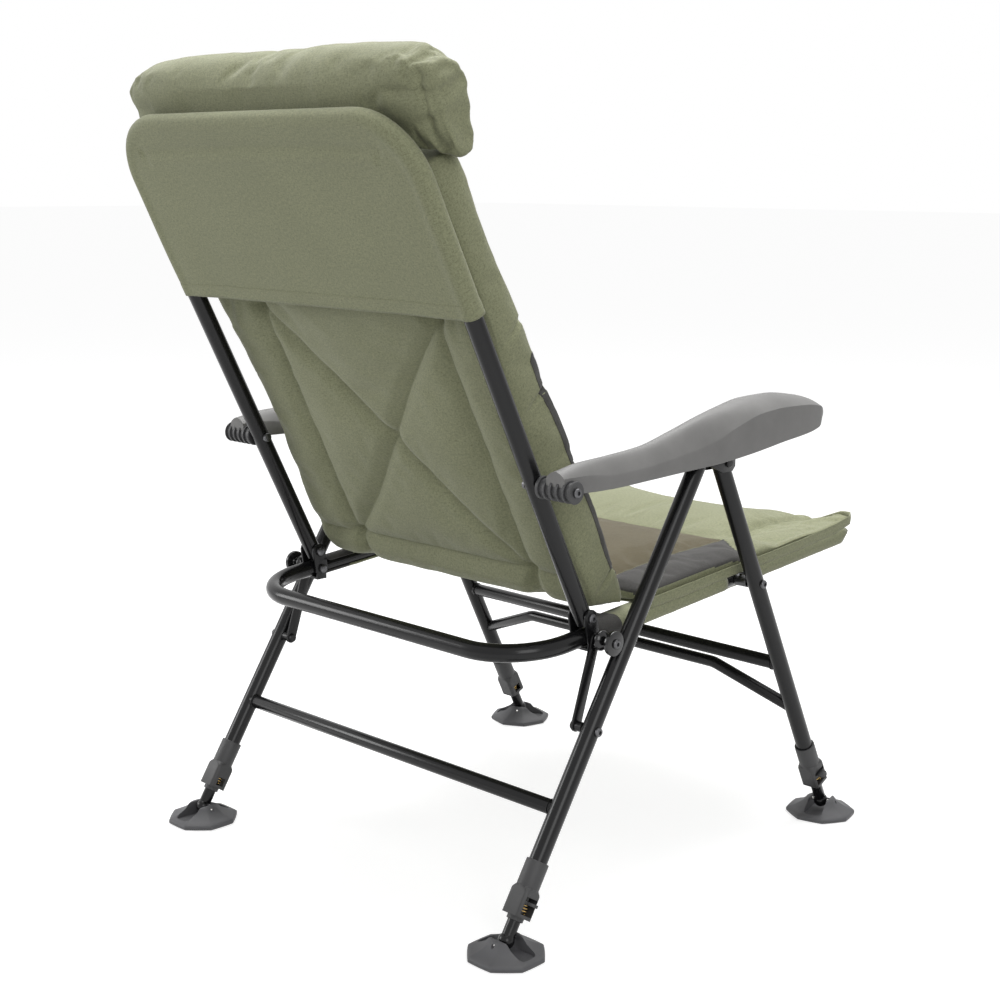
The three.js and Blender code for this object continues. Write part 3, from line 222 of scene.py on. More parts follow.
class Solid:
    """Gathers closed shells that together make one piece."""

    def __init__(self):
        self.verts = []
        self.faces = []

    def rings(self, rings, closed=False):
        """Skins rings of equal count, closed round or capped with a middle point at each end."""
        start = len(self.verts)
        count = len(rings[0])
        self.verts.extend(Vector(v) for ring in rings for v in ring)
        for k in range(len(rings) if closed else len(rings) - 1):
            a = start + k * count
            b = start + (k + 1) % len(rings) * count
            for i in range(count):
                j = (i + 1) % count
                self.faces.append((a + i, a + j, b + j, b + i))
        if not closed:
            for k in (0, len(rings) - 1):
                middle = len(self.verts)
                self.verts.append(sum(rings[k], Vector()) / count)
                for i in range(count):
                    a = start + k * count
                    fan = (middle, a + i, a + (i + 1) % count)
                    self.faces.append(fan if k else fan[::-1])
        return self

    def lathe(self, profile, origin, direction, count=32):
        """Turns [(radius, distance)] round a direction."""
        return self.rings(turned_rings(profile, origin, direction, count))

    def mesh(self, name):
        """The shells as one mesh, each with its faces pointing out."""
        mesh = new_mesh(name, self.verts, self.faces)
        mesh.validate()
        outward(mesh)
        return mesh

    def piece(self, name, body, slot, finish, *nodes, sharp=35.0):
        return placed(name, self.mesh(name), body, slot, [finish], nodes, sharp)


def outward(mesh):
    """Turns every closed shell of a mesh so that its faces point out."""
    bm = bmesh.new()
    bm.from_mesh(mesh)
    bm.faces.ensure_lookup_table()
    seen = set()
    for first in bm.faces:
        if first.index in seen:
            continue
        shell = []
        stack = [first]
        seen.add(first.index)
        while stack:
            face = stack.pop()
            shell.append(face)
            for edge in face.edges:
                for near in edge.link_faces:
                    if near.index not in seen:
                        seen.add(near.index)
                        stack.append(near)
        volume = 0.0
        for face in shell:
            points = [v.co for v in face.verts]
            for i in range(1, len(points) - 1):
                volume += points[0].dot(points[i].cross(points[i + 1]))
        if volume < 0:
            bmesh.ops.reverse_faces(bm, faces=shell)
    bm.to_mesh(mesh)
    bm.free()


def path_frames(points):
    """Side and up directions that don't twist along a path."""
    last = len(points) - 1
    tangents = [(points[min(i + 1, last)] - points[max(i - 1, 0)]).normalized() for i in range(last + 1)]
    side = tangents[0].orthogonal().normalized()
    frames = []
    for i, tangent in enumerate(tangents):
        if i:
            side = tangents[i - 1].rotation_difference(tangent) @ side
        side = (side - tangent * side.dot(tangent)).normalized()
        frames.append((side.copy(), tangent.cross(side)))
    return frames


def sweep_rings(points, radius, count):
    """Rings along a path, with one radius or one for each point."""
    radii = radius if hasattr(radius, "__len__") else [radius] * len(points)
    return [circle(point, side, up, r, count) for point, (side, up), r in zip(points, path_frames(points), radii)]


def bent(corners, radius, steps):
    """Points of a path whose inner corners are rounded."""
    corners = [Vector(c) for c in corners]
    points = [corners[0]]
    for last, corner, following in zip(corners, corners[1:], corners[2:]):
        before = (corner - last).normalized()
        after = (following - corner).normalized()
        turn = before.angle(after)
        side = (after - before * before.dot(after)).normalized()
        centre = corner - before * (radius * math.tan(turn / 2)) + side * radius
        for i in range(steps + 1):
            t = turn * i / steps
            points.append(centre + (before * math.sin(t) - side * math.cos(t)) * radius)
    return points + [corners[-1]]


def plate_rings(outline, inner, outer, edge, side):
    """Rings of a flat plate across X with rounded edges; the outline lists (y, z) in order."""
    centre = sum((Vector((0, y, z)) for y, z in outline), Vector()) / len(outline)
    rings = []
    for x, shrink in ((inner, edge), (inner + edge * 0.3, edge * 0.3), (inner + edge, 0), (outer - edge, 0),
                      (outer - edge * 0.3, edge * 0.3), (outer, edge)):
        ring = []
        for i, (y, z) in enumerate(outline):
            p = Vector((0, y, z))
            a = Vector((0, *outline[i - 1]))
            b = Vector((0, *outline[(i + 1) % len(outline)]))
            tangent = (b - a).normalized()
            normal = Vector((0, tangent.z, -tangent.y))
            if normal.dot(p - centre) < 0:
                normal.negate()
            ring.append(p - normal * shrink + AXIS_X * side * x)
        rings.append(ring)
    return rings


def stadium(a, b, radius, steps=12):
    """Outline round two circles, as (y, z)."""
    direction = math.atan2(b.z - a.z, b.y - a.y)
    outline = []
    for centre, start in ((b, direction - math.pi / 2), (a, direction + math.pi / 2)):
        for i in range(steps + 1):
            t = start + math.pi * i / steps
            outline.append((centre.y + radius * math.cos(t), centre.z + radius * math.sin(t)))
    return outline


# Shader effects

def feed(tree, target, value):
    """Links a socket to another, or gives it a plain value."""
    if isinstance(value, bpy.types.NodeSocket):
        tree.links.new(value, target)
    else:
        target.default_value = value


def node(tree, kind, **settings):
    made = tree.nodes.new(kind)
    inputs = settings.pop("inputs", {})
    for key, value in settings.items():
        setattr(made, key, value)
    for key, value in inputs.items():
        feed(tree, made.inputs[key], value)
    return made


def maths(tree, operation, *values):
    return node(tree, "ShaderNodeMath", operation=operation, inputs=dict(enumerate(values))).outputs[0]


def mix_colour(tree, factor, a, b):
    return node(tree, "ShaderNodeMix", data_type="RGBA", inputs={0: factor, 6: a, 7: b}).outputs[2]


def spread(tree, value, low, high, start=0.0, end=1.0):
    """Spreads a value that runs from start to end over low to high."""
    return node(tree, "ShaderNodeMapRange", inputs={
        "Value": value, "From Min": start, "From Max": end, "To Min": low, "To Max": high}).outputs[0]


def object_place(tree):
    return node(tree, "ShaderNodeTexCoord").outputs["Object"]


def cloudy(tree, place, scale, detail=2.0, roughness=0.5):
    """Noise from 0 to 1 at a place."""
    return node(tree, "ShaderNodeTexNoise", inputs={
        "Vector": place, "Scale": scale, "Detail": detail, "Roughness": roughness}).outputs[0]


def crossed_streaks(tree, place, along, across, roughness):
    """Streaks of noise along both directions of a cloth, added up."""
    streaks = []
    for stretch in ((along, across, 1.0), (across, along, 1.0)):
        mapped = node(tree, "ShaderNodeMapping", inputs={"Vector": place, "Scale": stretch})
        streaks.append(cloudy(tree, mapped.outputs[0], 1.0, 3.0, roughness))
    return maths(tree, "ADD", *streaks)


def plain_weave(tree, source):
    """Threads that cross over and under, on a map in metres, with uneven yarn."""
    parts = node(tree, "ShaderNodeSeparateXYZ", inputs={"Vector": source["Vector"]})
    turns = maths(tree, "DIVIDE", math.pi, source["Thread"])
    warp, weft = (maths(tree, "SINE", maths(tree, "MULTIPLY", parts.outputs[i], turns)) for i in (0, 1))
    cross = maths(tree, "MULTIPLY", warp, weft)
    yarns = maths(tree, "SUBTRACT", crossed_streaks(tree, source["Vector"], 90.0, 900.0, 0.5), 1.0)
    uneven = maths(tree, "MULTIPLY", yarns, source["Streaks"])
    height = maths(tree, "ADD", maths(tree, "MULTIPLY", cross, 0.4), uneven)
    shade = maths(tree, "ADD", maths(tree, "MULTIPLY", cross, 0.3), maths(tree, "MULTIPLY", uneven, 1.6))
    return maths(tree, "ADD", height, 0.5), maths(tree, "ADD", shade, 0.5)


def melange(tree, source):
    """Specks of darker fibre among the yarns, on a map in metres, from 0 to 1."""
    return (spread(tree, crossed_streaks(tree, source["Vector"], 260.0, 620.0, 0.7), 0.0, 1.0, 0.72, 1.12),)


def slow_variation(tree, source):
    """A broad mottling over a surface, from 0 to 1."""
    cloud = cloudy(tree, object_place(tree), source["Scale"], source["Detail"], 0.55)
    return (spread(tree, cloud, 0.0, 1.0, 0.3, 0.7),)


def worn_edges(tree, source):
    """Where an outer edge is rubbed: bright on convex edges, broken up by noise."""
    edge = spread(tree, node(tree, "ShaderNodeNewGeometry").outputs["Pointiness"], 0.0, 1.0, 0.56, 0.7)
    grit = cloudy(tree, object_place(tree), source["Break up"], 5.0)
    both = maths(tree, "MULTIPLY", edge, spread(tree, grit, 0.0, 1.0, 0.4, 0.62))
    return (maths(tree, "MULTIPLY", both, source["Amount"]),)


def fine_grain(tree, source):
    """The fine pebbled surface of a moulding or of paint."""
    place = object_place(tree)
    cells = node(tree, "ShaderNodeTexVoronoi", feature="SMOOTH_F1", inputs={
        "Vector": place, "Scale": source["Scale"], "Smoothness": 0.6})
    cloud = cloudy(tree, place, source["Scale"])
    both = node(tree, "ShaderNodeMix", data_type="FLOAT", inputs={0: source["Soft"], 2: cells.outputs[0], 3: cloud})
    return (both.outputs[0],)


# What builds each effect, its inputs with their defaults (None for a place), and its outputs
EFFECTS = {
    "Plain weave": (plain_weave, {"Vector": None, "Thread": 0.0009, "Streaks": 0.5}, ("Height", "Shade")),
    "Melange": (melange, {"Vector": None}, ("Mask",)),
    "Slow variation": (slow_variation, {"Scale": 9.0, "Detail": 4.0}, ("Mask",)),
    "Worn edges": (worn_edges, {"Amount": 0.5, "Break up": 220.0}, ("Mask",)),
    "Fine grain": (fine_grain, {"Scale": 1400.0, "Soft": 0.5}, ("Height",)),
}


def effect_group(name):
    """The node group of an effect, built once."""
    group = bpy.data.node_groups.get(name)
    if group:
        return group
    build, inputs, outputs = EFFECTS[name]
    group = bpy.data.node_groups.new(name, "ShaderNodeTree")
    for key, default in inputs.items():
        kind = "NodeSocketVector" if default is None else "NodeSocketFloat"
        socket = group.interface.new_socket(name=key, in_out="INPUT", socket_type=kind)
        if default is not None:
            socket.default_value = default
    for key in outputs:
        group.interface.new_socket(name=key, in_out="OUTPUT", socket_type="NodeSocketFloat")
    source = group.nodes.new("NodeGroupInput")
    target = group.nodes.new("NodeGroupOutput")
    for key, value in zip(outputs, build(group, source.outputs)):
        group.links.new(value, target.inputs[key])
    return group


def use_effect(tree, name, **inputs):
    """Places an effect in a material with its own values, and gives its outputs."""
    made = tree.nodes.new("ShaderNodeGroup")
    made.node_tree = effect_group(name)
    for key, value in inputs.items():
        feed(tree, made.inputs[key.replace("_", " ")], value)
    return made.outputs


def new_finish(name):
    """A material, with its node tree if it still has to be filled in."""
    finish = bpy.data.materials.get(name)
    if finish:
        return finish, None
    finish = bpy.data.materials.new(name)
    finish.use_nodes = True
    return finish, finish.node_tree


def dressed(finish, base, roughness, bump=None, **plain):
    """Feeds a finish its colour, its roughness, a bump of (height, strength, distance) and plain values."""
    tree = finish.node_tree
    shader = tree.nodes["Principled BSDF"]
    feed(tree, shader.inputs["Base Color"], base)
    feed(tree, shader.inputs["Roughness"], roughness)
    if bump:
        made = node(tree, "ShaderNodeBump", inputs=dict(zip(("Height", "Strength", "Distance"), bump)))
        tree.links.new(made.outputs[0], shader.inputs["Normal"])
    for key, value in plain.items():
        shader.inputs[key.replace("_", " ")].default_value = value
    return finish


def scaled(rgb, factor):
    return tuple(min(1.0, c * factor) for c in rgb) + (1.0,)


def mottled(tree, rgb, scale, low, high):
    """A colour that varies slowly from low to high times itself, and the mask of that."""
    cloud = use_effect(tree, "Slow variation", Scale=scale)["Mask"]
    return mix_colour(tree, cloud, scaled(rgb, low), scaled(rgb, high)), cloud


def cloth_finish(name, rgb, thread, streaks=0.5, sheen=0.15):
    """Woven polyester: crossing threads, uneven yarn, slow mottling and a soft sheen."""
    finish, tree = new_finish(name)
    if tree is None:
        return finish
    flat = node(tree, "ShaderNodeUVMap", uv_map="Cloth").outputs[0]
    weave = use_effect(tree, "Plain weave", Vector=flat, Thread=thread, Streaks=streaks)
    threads = mix_colour(tree, weave["Shade"], scaled(rgb, 0.6), scaled(rgb, 1.4))
    yarns = mix_colour(tree, 0.5, mottled(tree, rgb, 7.0, 0.88, 1.12)[0], threads)
    speck = use_effect(tree, "Melange", Vector=flat)["Mask"]
    return dressed(finish, mix_colour(tree, speck, scaled(rgb, 0.62), yarns),
                   spread(tree, weave["Height"], 0.86, 0.72), (weave["Height"], 0.4, 0.0004),
                   Sheen_Weight=sheen, Sheen_Roughness=0.45, Specular_IOR_Level=0.35)


def fleece_cloth():
    """Short brushed pile that lies in patches."""
    finish, tree = new_finish("Brown fleece")
    if tree is None:
        return finish
    rgb = padding_look().fleece
    place = object_place(tree)
    pile = cloudy(tree, place, 420.0, 6.0, 0.7)
    lay = cloudy(tree, place, 60.0, 3.0)
    tufts = mix_colour(tree, pile, scaled(rgb, 0.55), scaled(rgb, 1.5))
    patches = mottled(tree, rgb, 14.0, 0.85, 1.2)[0]
    height = maths(tree, "ADD", pile, maths(tree, "MULTIPLY", lay, 0.6))
    return dressed(finish, mix_colour(tree, 0.45, tufts, patches), 0.95, (height, 0.6, 0.0012),
                   Sheen_Weight=0.2, Sheen_Roughness=0.5, Specular_IOR_Level=0.2)


def paint_finish(name, rgb, roughness, wear=0.0, grain=0.02):
    """Black gloss paint with a faint orange peel, and rubbed edges where it has wear."""
    finish, tree = new_finish(name)
    if tree is None:
        return finish
    base, cloud = mottled(tree, rgb, 12.0, 0.9, 1.15)
    if wear:
        base = mix_colour(tree, use_effect(tree, "Worn edges", Amount=wear)["Mask"], base, (0.12, 0.12, 0.125, 1.0))
    skin = use_effect(tree, "Fine grain", Scale=500.0, Soft=0.9)["Height"]
    return dressed(finish, base, spread(tree, cloud, roughness * 0.9, roughness * 1.2), (skin, grain, 0.0003),
                   Specular_IOR_Level=0.28)


def moulded_finish(name, rgb, roughness, grain=0.25, wear=0.3, scale=1500.0):
    """Moulded plastic with a fine grain, scuffed at its edges."""
    finish, tree = new_finish(name)
    if tree is None:
        return finish
    base, cloud = mottled(tree, rgb, 22.0, 0.88, 1.15)
    edges = use_effect(tree, "Worn edges", Amount=wear, Break_up=300.0)["Mask"]
    skin = use_effect(tree, "Fine grain", Scale=scale, Soft=0.4)["Height"]
    return dressed(finish, mix_colour(tree, edges, base, scaled(rgb, 2.4)),
                   spread(tree, cloud, roughness * 0.9, roughness * 1.15), (skin, grain, 0.0004))


def metal_finish(name, rgb, roughness, tarnish=0.5):
    """Bare or blackened metal, dulled in patches."""
    finish, tree = new_finish(name)
    if tree is None:
        return finish
    base, cloud = mottled(tree, rgb, 120.0, 1 - tarnish * 0.5, 1.1)
    return dressed(finish, base, spread(tree, cloud, roughness * 1.5, roughness * 0.8), Metallic=1.0)


def sewing_thread():
    finish, tree = new_finish("Sewing thread")
    if tree is None:
        return finish
    rgb = padding_look().green
    twist = cloudy(tree, object_place(tree), 900.0)
    return dressed(finish, mix_colour(tree, twist, scaled(rgb, 0.7), scaled(rgb, 1.3)), 0.7)


def padding_look():
    return bpy.context.scene.armchair_padding


def frame_look():
    return bpy.context.scene.armchair_frame


def green_cloth():
    return cloth_finish("Olive cloth", padding_look().green, padding_look().thread)


def grey_cloth():
    return cloth_finish("Grey cloth", padding_look().grey, padding_look().thread, streaks=0.3, sheen=0.1)


def frame_paint():
    return paint_finish("Gloss paint", frame_look().paint, frame_look().paint_roughness)


def plate_paint():
    return paint_finish("Plate paint", frame_look().paint, 0.28, wear=0.5, grain=0.05)


def moulded_black():
    return moulded_finish("Moulded nylon", frame_look().plastic, 0.5)


def pad_plastic():
    return moulded_finish("Foot pad moulding", frame_look().pad, 0.55, grain=0.2)


def gloss_black():
    return moulded_finish("Gloss moulding", frame_look().paint, 0.16, grain=0.03, wear=0.1)


def arm_plastic():
    return moulded_finish("Armrest moulding", frame_look().arm, 0.52, grain=0.3, wear=0.15, scale=900.0)


def black_steel():
    return metal_finish("Blackened steel", (0.12, 0.12, 0.125), 0.32)


def bright_pin():
    return metal_finish("Bright pin", (0.78, 0.77, 0.75), 0.2, tarnish=0.2)


def brass_wire():
    return metal_finish("Brass wire", frame_look().brass, 0.25, tarnish=0.4)


# Rows of stitches, made with geometry nodes

def stitch_tree():
    tree = bpy.data.node_groups.get("Stitch row")
    if tree:
        return tree
    tree = bpy.data.node_groups.new("Stitch row", "GeometryNodeTree")
    face = tree.interface
    face.new_socket(name="Geometry", in_out="INPUT", socket_type="NodeSocketGeometry")
    for name, default in (("Spacing", 0.0042), ("Length", 0.003), ("Radius", 0.00045)):
        face.new_socket(name=name, in_out="INPUT", socket_type="NodeSocketFloat").default_value = default
    face.new_socket(name="Material", in_out="INPUT", socket_type="NodeSocketMaterial")
    face.new_socket(name="Geometry", in_out="OUTPUT", socket_type="NodeSocketGeometry")
    source = tree.nodes.new("NodeGroupInput")
    target = tree.nodes.new("NodeGroupOutput")
    curve = node(tree, "GeometryNodeMeshToCurve", inputs={"Mesh": source.outputs["Geometry"]})
    points = node(tree, "GeometryNodeCurveToPoints", mode="LENGTH", inputs={
        "Curve": curve.outputs["Curve"], "Length": source.outputs["Spacing"]})
    bead = node(tree, "GeometryNodeMeshUVSphere", inputs={"Segments": 6, "Rings": 4, "Radius": 1.0})
    half = node(tree, "ShaderNodeMath", operation="MULTIPLY", inputs={0: source.outputs["Length"], 1: 0.5})
    size = node(tree, "ShaderNodeCombineXYZ", inputs={
        "X": source.outputs["Radius"], "Y": source.outputs["Radius"], "Z": half.outputs[0]})
    turn = node(tree, "FunctionNodeAlignRotationToVector", axis="Z", inputs={"Vector": points.outputs["Tangent"]})
    placed = node(tree, "GeometryNodeInstanceOnPoints", inputs={
        "Points": points.outputs["Points"], "Instance": bead.outputs["Mesh"], "Rotation": turn.outputs[0],
        "Scale": size.outputs[0]})
    real = node(tree, "GeometryNodeRealizeInstances", inputs={"Geometry": placed.outputs[0]})
    painted = node(tree, "GeometryNodeSetMaterial", inputs={"Geometry": real.outputs[0],
                                                            "Material": source.outputs["Material"]})
    tree.links.new(painted.outputs[0], target.inputs["Geometry"])
    return tree


def stitch_rows(name, rows, body, radius=0.0005):
    """Rows of stitches along lists of points: a line mesh run through the stitch tree, kept as a plain mesh."""
    thread = sewing_thread()
    verts, edges = [], []
    for row in rows:
        start = len(verts)
        verts.extend(row)
        edges.extend((start + i, start + i + 1) for i in range(len(row) - 1))
    holder = shown(name + "_guide", new_mesh(name + "_guide", verts, (), edges))
    stitcher = add_modifier(holder, "Rows", "NODES", node_group=stitch_tree())
    identifiers = {item.name: item.identifier for item in stitcher.node_group.interface.items_tree
                   if item.item_type == "SOCKET" and item.in_out == "INPUT"}
    spacing = padding_look().stitch_spacing
    for key, value in (("Spacing", spacing), ("Length", spacing * 0.72), ("Radius", radius), ("Material", thread)):
        stitcher[identifiers[key]] = value
    sewn = finished_mesh(holder, name)
    return placed(name, sewn, body, "padding", () if sewn.materials else [thread])


# Padding

# Seams are drawn in where a normal's rearward part is past these, and the filling swells for so many frames
FACE_REAR, FACE_FRONT = 0.35, -0.35
FILL_FRAMES = 20
SEW_LINE = 0.7


def near_lines(points, lines):
    """Distance of each point to the nearest of several lines of points."""
    best = np.full(len(points), 1e9)
    for line in lines:
        for a, b in zip(line, line[1:]):
            a = np.asarray(a, float)
            run = np.asarray(b, float) - a
            t = np.clip((points - a) @ run / max(1e-12, run @ run), 0.0, 1.0)
            best = np.minimum(best, np.linalg.norm(points - (a + t[:, None] * run), axis=1))
    return best


def folds(points, lines):
    """Depth of short folds at each point; a fold is (start, end, depth, half width) and fades to its ends."""
    total = np.zeros(len(points))
    for start, end, depth, width in lines:
        a = np.asarray(start, float)
        run = np.asarray(end, float) - a
        t = (points - a) @ run / (run @ run)
        off = np.linalg.norm(points - (a + np.clip(t, 0, 1)[:, None] * run), axis=1)
        fade = np.clip(1 - np.abs(2 * np.clip(t, 0, 1) - 0.7), 0, 1) ** 0.5
        total += depth * fade * np.exp(-(off / width) ** 2)
    return total


def read(items, name, width=3, kind=float):
    """One property of all items, as rows of numbers."""
    found = np.empty(len(items) * width, kind)
    items.foreach_get(name, found)
    return found.reshape(-1, width) if width > 1 else found


def coordinates(mesh):
    return read(mesh.vertices, "co")


def normals_of(mesh):
    return read(mesh.vertex_normals, "vector")


def put_coordinates(mesh, co):
    mesh.vertices.foreach_set("co", np.ascontiguousarray(co).ravel())
    mesh.update()


def discard(obj):
    """Removes an object and its mesh."""
    mesh = obj.data
    bpy.data.objects.remove(obj)
    bpy.data.meshes.remove(mesh)


def finished_mesh(obj, name):
    """The mesh of an object with its modifiers run, and the object gone."""
    depsgraph = bpy.context.evaluated_depsgraph_get()
    made = bpy.data.meshes.new_from_object(obj.evaluated_get(depsgraph))
    made.name = name
    discard(obj)
    return made


def holding(mesh):
    return shown(mesh.name + "_work", mesh)


def add_modifier(obj, name, kind, **settings):
    made = obj.modifiers.new(name, kind)
    for key, value in settings.items():
        setattr(made, key, value)
    return made


def carved(name, solid, tools, bevel=0.0, angle=40.0):
    """Cuts tools out of a solid and rounds the edges that are left."""
    body = holding(solid.mesh(name))
    holders = [holding(tool.mesh(name + "_tool")) for tool in tools]
    for holder in holders:
        add_modifier(body, "Cut", "BOOLEAN", operation="DIFFERENCE", solver="EXACT", object=holder)
    if bevel:
        add_modifier(body, "Edge", "BEVEL", width=bevel, segments=2, limit_method="ANGLE",
                     angle_limit=math.radians(angle))
    made = finished_mesh(body, name)
    made.materials.clear()
    for holder in holders:
        discard(holder)
    return made


def join_meshes(mesh, other):
    """Adds another mesh to one, and removes that other."""
    bm = bmesh.new()
    bm.from_mesh(mesh)
    bm.from_mesh(other)
    bm.to_mesh(mesh)
    bm.free()
    bpy.data.meshes.remove(other)
    return mesh


def cloth_grid(name, solid, voxel, smooth):
    """An even grid of cloth over a closed shape."""
    obj = holding(solid.mesh(name))
    add_modifier(obj, "Grid", "REMESH", mode="VOXEL", voxel_size=voxel)
    add_modifier(obj, "Relax", "SMOOTH", factor=0.5, iterations=smooth)
    return finished_mesh(obj, name)


def skinned(*skins):
    """A solid of closed shells, each made of rings in millimetres."""
    solid = Solid()
    for rings in skins:
        solid.rings([[Vector(p) * MM for p in ring] for ring in rings])
    return solid


def fill_cloth(mesh, sewn, cap, pressure, extra, bending=2.0):
    """Pushes the filling into a cloth that is held where sewn is 1, no further out than the cap."""
    obj = holding(mesh)
    group = obj.vertex_groups.new(name="Sewn")
    for weight in (0.0, 1.0):
        group.add([int(i) for i in np.nonzero(sewn == weight)[0]], weight, "REPLACE")
    cloth = obj.modifiers.new("Filling", "CLOTH")
    for key, value in (("quality", 4), ("mass", 0.3), ("tension_stiffness", 22), ("compression_stiffness", 22),
                       ("shear_stiffness", 8), ("bending_stiffness", bending), ("use_pressure", True),
                       ("uniform_pressure_force", pressure), ("vertex_group_mass", "Sewn"), ("pin_stiffness", 1.0),
                       ("shrink_min", -extra)):
        setattr(cloth.settings, key, value)
    cloth.settings.effector_weights.gravity = 0.0
    cloth.point_cache.frame_start = 1
    cloth.point_cache.frame_end = FILL_FRAMES
    rest = coordinates(mesh)
    for step in range(1, FILL_FRAMES + 1):
        bpy.context.scene.frame_set(step)
    depsgraph = bpy.context.evaluated_depsgraph_get()
    moved = coordinates(obj.evaluated_get(depsgraph).data) - rest
    held = np.minimum(1.0, cap / np.maximum(np.linalg.norm(moved, axis=1), 1e-9))
    obj.modifiers.clear()
    bpy.context.scene.frame_set(1)
    put_coordinates(mesh, rest + moved * held[:, None])
    bpy.data.objects.remove(obj)
    return mesh


def finer(mesh):
    obj = holding(mesh)
    add_modifier(obj, "Finer", "SUBSURF", levels=1, render_levels=1)
    return finished_mesh(obj, mesh.name)


def cloth_map(mesh):
    """A map in metres that looks at each face from its flattest side, so that the weave keeps its size."""
    layer = mesh.uv_layers.get("Cloth") or mesh.uv_layers.new(name="Cloth")
    corners = read(mesh.polygons, "loop_total", 1, int)
    normal = np.repeat(np.abs(read(mesh.polygons, "normal")), corners, axis=0)
    place = coordinates(mesh)[read(mesh.loops, "vertex_index", 1, int)]
    flattest = np.argmax(normal, axis=1)[:, None]
    uv = np.where(flattest == 0, place[:, [1, 2]], np.where(flattest == 1, place[:, [0, 2]], place[:, [0, 1]]))
    layer.data.foreach_set("uv", np.ascontiguousarray(uv).ravel())


def ripple(co, scale, seed=0.0):
    """Smooth noise at each point, from -1 to 1."""
    return np.array([noise.noise(Vector((p[0] * scale[0] + seed, p[1] * scale[1], p[2] * scale[2]))) for p in co])


def ridge(offset, width):
    """A smooth bump of height 1 round offset 0."""
    return np.exp(-(offset / width) ** 2)


def ramp(value, start, run):
    """0 up to start, and 1 from start + run on."""
    return np.clip((value - start) / run, 0, 1)


def pushed(co, normal, change):
    """Points moved along their normals by millimetres."""
    return co + normal * (change * MM)[:, None]


def to_world(mesh, origin, axes):
    put_coordinates(mesh, coordinates(mesh) @ np.array(axes) + np.array(origin))


def paint_regions(mesh, choose):
    """Gives each face the finish that choose() names for its middle, in millimetres, and its normal."""
    chosen = choose(read(mesh.polygons, "center") / MM, read(mesh.polygons, "normal"))
    mesh.polygons.foreach_set("material_index", chosen.astype(int))


def soft_piece(name, mesh, body, cad_node, finishes):
    piece = placed(name, mesh, body, "padding", finishes, [cad_node])
    return piece


def surface_of(piece):
    return BVHTree.FromObject(piece, bpy.context.evaluated_depsgraph_get())


def dense(line, step=6.0):
    """Points along a line of points, a step apart."""
    made = []
    for a, b in zip(line, line[1:]):
        a, b = np.asarray(a, float), np.asarray(b, float)
        count = max(1, int(round(np.linalg.norm(b - a) / step)))
        made.extend(a + (b - a) * k / count for k in range(count))
    made.append(np.asarray(line[-1], float))
    return made


def laid_row(tree, points, direction):
    """Drops points on to a surface along a direction and keeps them just proud of it."""
    hits = [tree.ray_cast(point, direction)[:2] for point in points]
    return [hit + normal * 0.0002 for hit, normal in hits if hit is not None]


def power(value, exponent):
    return math.copysign(abs(value) ** exponent, value)


def table(entries, place):
    """A smooth value between the entries of a table."""
    places = [e[0] for e in entries]
    values = [e[1] for e in entries]
    if place <= places[0]:
        return values[0]
    for k in range(1, len(places)):
        if place <= places[k]:
            t = (place - places[k - 1]) / (places[k] - places[k - 1])
            return values[k - 1] + (values[k] - values[k - 1]) * t * t * (3 - 2 * t)
    return values[-1]


# Back cushion. Places are millimetres across, behind the plane of the tubes, and up from the hinge.

# Half the distance between the upright quilting seams, the ends of the crossed ones, and the cushion's top
QUILT_X = 158.0
QUILT_LOW, QUILT_HIGH = 32.0, 378.0
BACK_TOP = 570.0
BACK_REST, BACK_FRONT = -13.8, 95.0
# Depth in front of the tubes at each share of the height, and half the width at each height
FRONT_DEPTH = ((0, 1), (0.08, 0.95), (0.115, 0.92), (0.18, 0.95), (0.24, 0.98), (0.326, 0.97), (0.356, 0.92),
               (0.387, 0.97), (0.45, 0.98), (0.5, 0.94), (0.527, 0.89), (0.558, 0.9), (0.62, 0.84), (0.7, 0.79),
               (0.78, 0.75), (0.876, 0.73), (0.952, 0.77), (1, 0.8))
BACK_WIDTH = ((-30, 246), (20, 251), (60, 250), (150, 244), (240, 239), (300, 243), (370, 250), (480, 249),
              (570, 246))
SIDE_TUCKS = (16.0, 165.0, 271.0, 366.0)


def back_seams():
    """Quilting lines on the rear of the back cushion, as points across and up."""
    middle = (QUILT_LOW + QUILT_HIGH) / 2
    lines = [[(-225.0, QUILT_LOW - 4), (-QUILT_X, QUILT_LOW), (QUILT_X, QUILT_LOW), (225.0, QUILT_LOW - 4)]]
    for side in (-1, 1):
        lines.append([(side * QUILT_X, -8.0), (side * QUILT_X, 410.0)])
        for end in (QUILT_HIGH, QUILT_LOW):
            bow = (side * QUILT_X * 0.5, (middle + end) / 2 + (6 if end == QUILT_HIGH else -9))
            lines.append([(side * QUILT_X, end), bow, (0.0, middle)])
    return lines


def front_seams():
    lines = [[(-212.0, s), (212.0, s)] for s in (60.0, 165.0, 271.0)]
    lines += [[(side * 186.0, -40.0), (side * 186.0, 545.0)] for side in (-1, 1)]
    return lines


